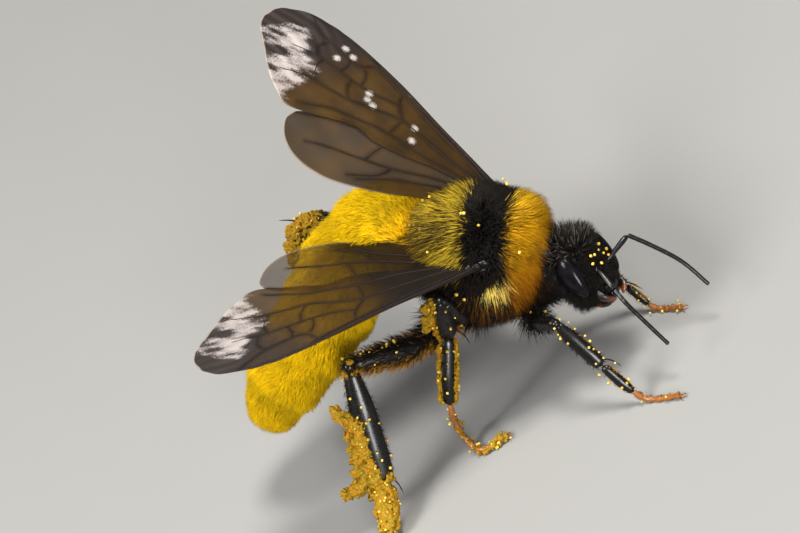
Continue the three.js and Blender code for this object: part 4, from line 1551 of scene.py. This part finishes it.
class BEE_OT_coat(Operator):
    """Grow the coat on thorax, abdomen and head"""

    bl_idname = "bee.coat"
    bl_label = "Coat"

    def execute(self, context):
        skin = bpy.data.objects["body_skin"]
        coat = coat_material()
        sizes, colours = context.scene.bee_sizes, context.scene.bee_colours
        thorax_coat(skin, coat, sizes, colours, np.random.default_rng(SEEDS["thorax"]))
        abdomen_coat(skin, coat, sizes, colours, np.random.default_rng(SEEDS["abdomen"]))
        head_coat(skin, coat, sizes, colours, np.random.default_rng(SEEDS["head"]))
        return {"FINISHED"}


def by_part(segment, values, other):
    """The value for thigh, shin, heel or toes, or the other one for spurs and claws."""
    return np.select([segment < number + 1.5 for number in range(len(values))], values, other)


def leg_coat(name, row, coat, sizes, colours, rng):
    """Bristles of one leg, pointing to its foot: longest on the hip and at the edges, yellow where dusted."""
    leg = bpy.data.objects[f"leg_{name}"]
    kept = (("segment", 1), ("share", 1), ("distal", 3), ("dust", 1))
    roots, normals, kept = sampled(leg, rng, evenly(LEG_TUFTS), kept)
    segment, share, distal, dust = kept[0][:, 0], kept[1][:, 0], kept[2], kept[3][:, 0]
    on_thigh, hind = segment < 1.5, name.startswith("hind")
    outside = np.linalg.norm(in_frame(roots, BODY), axis=1) > BRISTLES_CLEAR
    edge = edge_share(name, normals, distal)
    from_hip = np.linalg.norm(roots - moved([LEGS[name][0]], FLOOR)[0], axis=1)
    hip = on_thigh * (1 - ramp(from_hip, 0.8, 1.8))
    thick = by_part(segment, BRISTLE_SHARES, 0.0)
    chance = thick * (0.15 + 0.95 * edge) + 1.4 * hip + 0.5 * on_thigh * hind
    keep = outside & (rng.random(len(roots)) < chance * sizes.coat_density) & (roots[:, 2] > 0.1)
    roots, normals, segment, share, distal, dust, edge, hip, on_thigh = picked(
        (roots, normals, segment, share, distal, dust, edge, hip, on_thigh), keep
    )
    shaggy = on_thigh * (0.6 if hind else 0.7 if name == "mid_right" else 0.4)
    longest = by_part(segment, BRISTLE_LENGTHS, BRISTLE_LENGTHS[-1])
    length = longest * (0.5 + 0.4 * edge + 1.3 * hip + 0.8 * shaggy) * rng.uniform(0.6, 1.2, len(roots))
    lean = np.radians(rng.uniform(44, 70, len(roots)))
    yellow = rng.random(len(roots)) < ramp(dust, 0.15, 0.8)
    below = ramp(-normals[:, 2], -0.35, 0.35)
    brown = (rng.random(len(roots)) < 0.06 + 0.8 * below) & on_thigh & hind
    golden, black, pollen = (np.array(c) for c in (colours.golden, colours.black, colours.pollen))
    plain = np.where(brown[:, None], golden * BRISTLE_BROWN, black * 1.3)
    paint = np.where(yellow[:, None], pollen * BRISTLE_YELLOW, plain)
    width = sizes.hair_width / MM * rng.uniform(0.55, 0.9, len(roots))
    spoke = (normals @ np.array((0.3, 0.5, 0.8)) + 1) / 2
    patch = np.column_stack((np.clip(spoke, 0, 1), (row + (segment - 1 + share) / 4.2) / len(LEGS)))
    tufts = (roots, normals, distal, lean, length, width, paint, patch)
    piece = grow_tufts(f"bristles_{name}", coat, tufts, rng, 0.12, 0.12, 0.3, bend=0.08)


class BEE_OT_bristles(Operator):
    """Grow bristles on the legs"""

    bl_idname = "bee.bristles"
    bl_label = "Bristles"

    def execute(self, context):
        coat = bpy.data.materials["coat"]
        sizes, colours = context.scene.bee_sizes, context.scene.bee_colours
        rng = np.random.default_rng(SEEDS["bristles"])
        for row, name in enumerate(LEGS):
            leg_coat(name, row, coat, sizes, colours, rng)
        return {"FINISHED"}


# Pollen: single grains that cling to the face, in the head's frame, and to the back, in the body's
FACE_GRAINS = (
    (1.04, 0.46, 0.47), (1.11, 0.15, 0.27), (1.07, -0.45, 0.29), (1.1, -0.24, 0.22), (1.11, 0.29, 0.02),
    (1.04, 0.54, -0.19), (1.03, -0.62, -0.04), (1.09, -0.19, -0.26), (1.0, 0.72, 0.07),
)
BACK_GRAINS = (
    (-0.35, -0.99, 3.14), (-0.22, -0.99, 3.15), (0.5, -1.51, 2.9), (-2.36, -0.96, 2.16), (-1.9, -2.1, 1.82),
    (1.3, 1.48, 2.68), (2.24, -1.91, 1.62), (-2.45, 0.6, 2.5), (-2.1, 0.55, 2.75), (-2.6, 0.1, 2.3),
    (-2.95, -0.5, 1.95), (-2.7, -0.62, 2.1), (1.0, 2.1, 2.4), (-0.6, -3.3, 0.35), (-0.3, -3.25, 0.0),
)

# Heaps of pollen on a leg: place from the floor point under the thorax, reach and number of balls
HEAPS = {
    "hind_right": (
        ((-7.55, -6.0, 5.45), 0.22, 26), ((-7.45, -6.15, 5.15), 0.34, 50), ((-7.2, -6.2, 4.8), 0.34, 50),
        ((-7.3, -6.55, 4.2), 0.34, 50), ((-7.35, -6.85, 3.65), 0.36, 55), ((-7.4, -7.1, 3.15), 0.38, 60),
        ((-7.5, -7.35, 2.65), 0.42, 70), ((-7.35, -7.6, 2.05), 0.5, 90), ((-7.85, -7.8, 2.05), 0.38, 60),
        ((-8.3, -7.95, 2.15), 0.36, 55), ((-7.2, -7.7, 1.6), 0.48, 80), ((-5.95, -5.2, 7.15), 0.14, 12),
    ),
    "mid_right": (
        ((-2.2, -3.45, 7.55), 0.2, 22), ((-2.3, -3.6, 7.1), 0.24, 30), ((-2.55, -3.6, 6.6), 0.22, 26),
    ),
}


LUMP_BALLS, LOOSE_GRAINS = 90.0, 12.0  # on each square millimetre of a leg, before dust thins them
FEWEST_BALLS = 30
LUMP_BALL = 0.0002  # metres across
LUMP_GRID = 0.045
LOWEST_BALL, LOWEST_GRAIN = 0.12, 0.1


def grains(name, centres, size, rng):
    """Copies of one bumpy grain, joined into one piece."""
    bpy.ops.object.select_all(action="DESELECT")
    bpy.ops.mesh.primitive_uv_sphere_add(segments=6, ring_count=5, radius=0.5)
    grain = bpy.context.object
    shape = places_of(grain)
    grain.data.calc_loop_triangles()
    corners = np.array([tuple(face.vertices) for face in grain.data.loop_triangles])
    bpy.data.objects.remove(grain)
    count = len(centres)
    widths = size / MM * rng.uniform(0.7, 1.15, count)
    bumps = rng.uniform(0.9, 1.1, (count, len(shape), 1))
    places = centres[:, None] + shape[None] * widths[:, None, None] * bumps
    faces = (corners[None] + len(shape) * np.arange(count)[:, None, None]).reshape(-1, 3)
    mesh = bpy.data.meshes.new(name)
    mesh.from_pydata(places.reshape(-1, 3), [], faces)
    piece = linked(name, mesh)
    store(piece, "tone", np.repeat(rng.uniform(0.45, 1.0, count), len(shape)))
    return piece


def finish_pollen(piece):
    settle(piece, piece.name, bpy.data.materials["pollen"])


def lumps(name, leg, rng):
    """Pollen packed onto a dusted leg: many small balls grown into crumbly lumps."""
    roots, normals, (dust,) = sampled(leg, rng, evenly(LUMP_BALLS), (("dust", 1),))
    drift = 0.5 + 0.5 * np.sin(roots @ np.array((3.1, 2.3, 4.7))) * np.sin(roots @ np.array((-2.2, 4.1, 1.9)))
    keep = rng.random(len(roots)) < ramp(dust[:, 0] * (0.7 + 0.5 * drift), 0.4, 0.95)
    roots, normals, drift = picked((roots, normals, drift), keep)
    if len(roots) < FEWEST_BALLS:
        return
    centres = roots + normals * (rng.uniform(0.0, 0.08, len(roots)) + 0.12 * drift**2)[:, None]
    for place, reach, count in HEAPS.get(name, ()):
        middle = moved([place], FLOOR)[0]
        heap = middle + unit(rng.normal(0, 1, (count, 3))) * reach * rng.random((count, 1)) ** 0.4
        centres = np.vstack((centres, heap))
    centres[:, 2] = np.maximum(centres[:, 2], LOWEST_BALL)
    balls = grains(f"pollen_lumps_{name}", centres, LUMP_BALL, rng)
    apply_modifier(balls, "REMESH", mode="VOXEL", voxel_size=LUMP_GRID)
    apply_modifier(balls, "SMOOTH", factor=0.5, iterations=2)
    places = places_of(balls) / MM
    speckle = np.sin(places @ np.array((31.0, 44.0, 23.0))) * np.sin(places @ np.array((-37.0, 19.0, 41.0)))
    store(balls, "tone", np.clip(0.06 + 0.2 * speckle, 0, 1))
    finish_pollen(balls)


class BEE_OT_pollen(Operator):
    """Scatter pollen on face, thorax and legs"""

    bl_idname = "bee.pollen"
    bl_label = "Pollen"

    def execute(self, context):
        size = context.scene.bee_sizes.grain
        pollen_material(context.scene.bee_colours)
        rng = np.random.default_rng(SEEDS["pollen"])
        finish_pollen(grains("pollen_face", moved(FACE_GRAINS, HEAD), size, rng))
        finish_pollen(grains("pollen_back", moved(BACK_GRAINS, BODY), size, rng))
        for name in LEGS:
            leg = bpy.data.objects[f"leg_{name}"]
            lumps(name, leg, rng)
            roots, normals, (dust,) = sampled(leg, rng, evenly(LOOSE_GRAINS), (("dust", 1),))
            outside = np.linalg.norm(in_frame(roots, BODY), axis=1) > GRAINS_CLEAR
            keep = outside & (rng.random(len(roots)) < 0.08 + dust[:, 0] * 0.6)
            out = rng.uniform(0.03, 0.2, keep.sum())[:, None]
            centres = roots[keep] + normals[keep] * out
            centres[:, 2] = np.maximum(centres[:, 2], LOWEST_GRAIN)
            finish_pollen(grains(f"pollen_{name}", centres, size * 0.85, rng))
        return {"FINISHED"}


# Stage

def lamp(name, place, aim, width, power, colour):
    """A soft square lamp at a place, turned to its aim; lengths in millimetres."""
    light = bpy.data.lights.new(name, "AREA")
    light.shape = "SQUARE"
    light.size = width * MM
    light.energy = power
    light.color = colour
    piece = linked(name, light)
    piece.location = place * MM
    piece.rotation_euler = (aim - place).to_track_quat("-Z", "Y").to_euler()


def view_axes():
    """Right, up and back of the camera."""
    back = Vector((
        math.sin(VIEW_AZIMUTH) * math.cos(VIEW_ELEVATION),
        -math.cos(VIEW_AZIMUTH) * math.cos(VIEW_ELEVATION),
        math.sin(VIEW_ELEVATION),
    ))
    level = Vector((math.cos(VIEW_AZIMUTH), math.sin(VIEW_AZIMUTH), 0))
    high = back.cross(level)
    right = level * math.cos(VIEW_ROLL) - high * math.sin(VIEW_ROLL)
    return right, back.cross(right), back


class BEE_OT_stage(Operator):
    """Set the floor, the lamps and the camera"""

    bl_idname = "bee.stage"
    bl_label = "Stage"

    def execute(self, context):
        bpy.ops.object.select_all(action="DESELECT")
        bpy.ops.mesh.primitive_plane_add(size=FLOOR_WIDTH)
        floor = context.object
        floor.name = "floor"
        floor.data.materials.append(floor_material(context.scene.bee_colours))
        right, up, back = view_axes()
        thorax = Vector(THORAX)
        for name, (place, width, power, colour) in LAMPS.items():
            offset = right * place[0] + up * place[1] + back * place[2]
            lamp(name, thorax + offset, thorax, width, power, colour)
        world = bpy.data.worlds.new("studio")
        world.use_nodes = True
        sky = world.node_tree.nodes["Background"].inputs
        sky["Color"].default_value, sky["Strength"].default_value = SKY_COLOUR, SKY_STRENGTH
        context.scene.world = world
        context.scene.view_settings.view_transform = "Standard"
        data = bpy.data.cameras.new("camera")
        data.sensor_width = 36
        data.lens = VIEW_DISTANCE
        data.clip_start, data.clip_end = 0.01, 5
        camera = linked("camera", data)
        aim = thorax + right * VIEW_AIM[0] + up * VIEW_AIM[1]
        turn = Matrix((right, up, back)).transposed().to_4x4()
        camera.matrix_world = Matrix.Translation((aim + back * VIEW_DISTANCE) * MM) @ turn
        context.scene.camera = camera
        return {"FINISHED"}


class BEE_PT_panel(Panel):
    """The steps that make the bee"""

    bl_label = "Bumblebee"
    bl_idname = "BEE_PT_panel"
    bl_space_type = "VIEW_3D"
    bl_region_type = "UI"
    bl_category = "Bumblebee"

    def draw(self, context):
        for step in STEPS:
            self.layout.operator(step.bl_idname)
        for group in (context.scene.bee_sizes, context.scene.bee_colours):
            for name in group.__annotations__:
                self.layout.prop(group, name)


MODELLING = (BEE_OT_skin, BEE_OT_head, BEE_OT_legs, BEE_OT_wings, BEE_OT_coat, BEE_OT_bristles, BEE_OT_pollen)
STEPS = (*MODELLING, BEE_OT_stage)
CLASSES = (BeeSizes, BeeColours, *STEPS, BEE_PT_panel)


def register():
    for each in CLASSES:
        bpy.utils.register_class(each)
    bpy.types.Scene.bee_sizes = PointerProperty(type=BeeSizes)
    bpy.types.Scene.bee_colours = PointerProperty(type=BeeColours)


def unregister():
    del bpy.types.Scene.bee_colours
    del bpy.types.Scene.bee_sizes
    for each in reversed(CLASSES):
        bpy.utils.unregister_class(each)


def main():
    register()
    for step in STEPS:
        family, verb = step.bl_idname.split(".")
        getattr(getattr(bpy.ops, family), verb)()


if __name__ == "__main__":
    main()
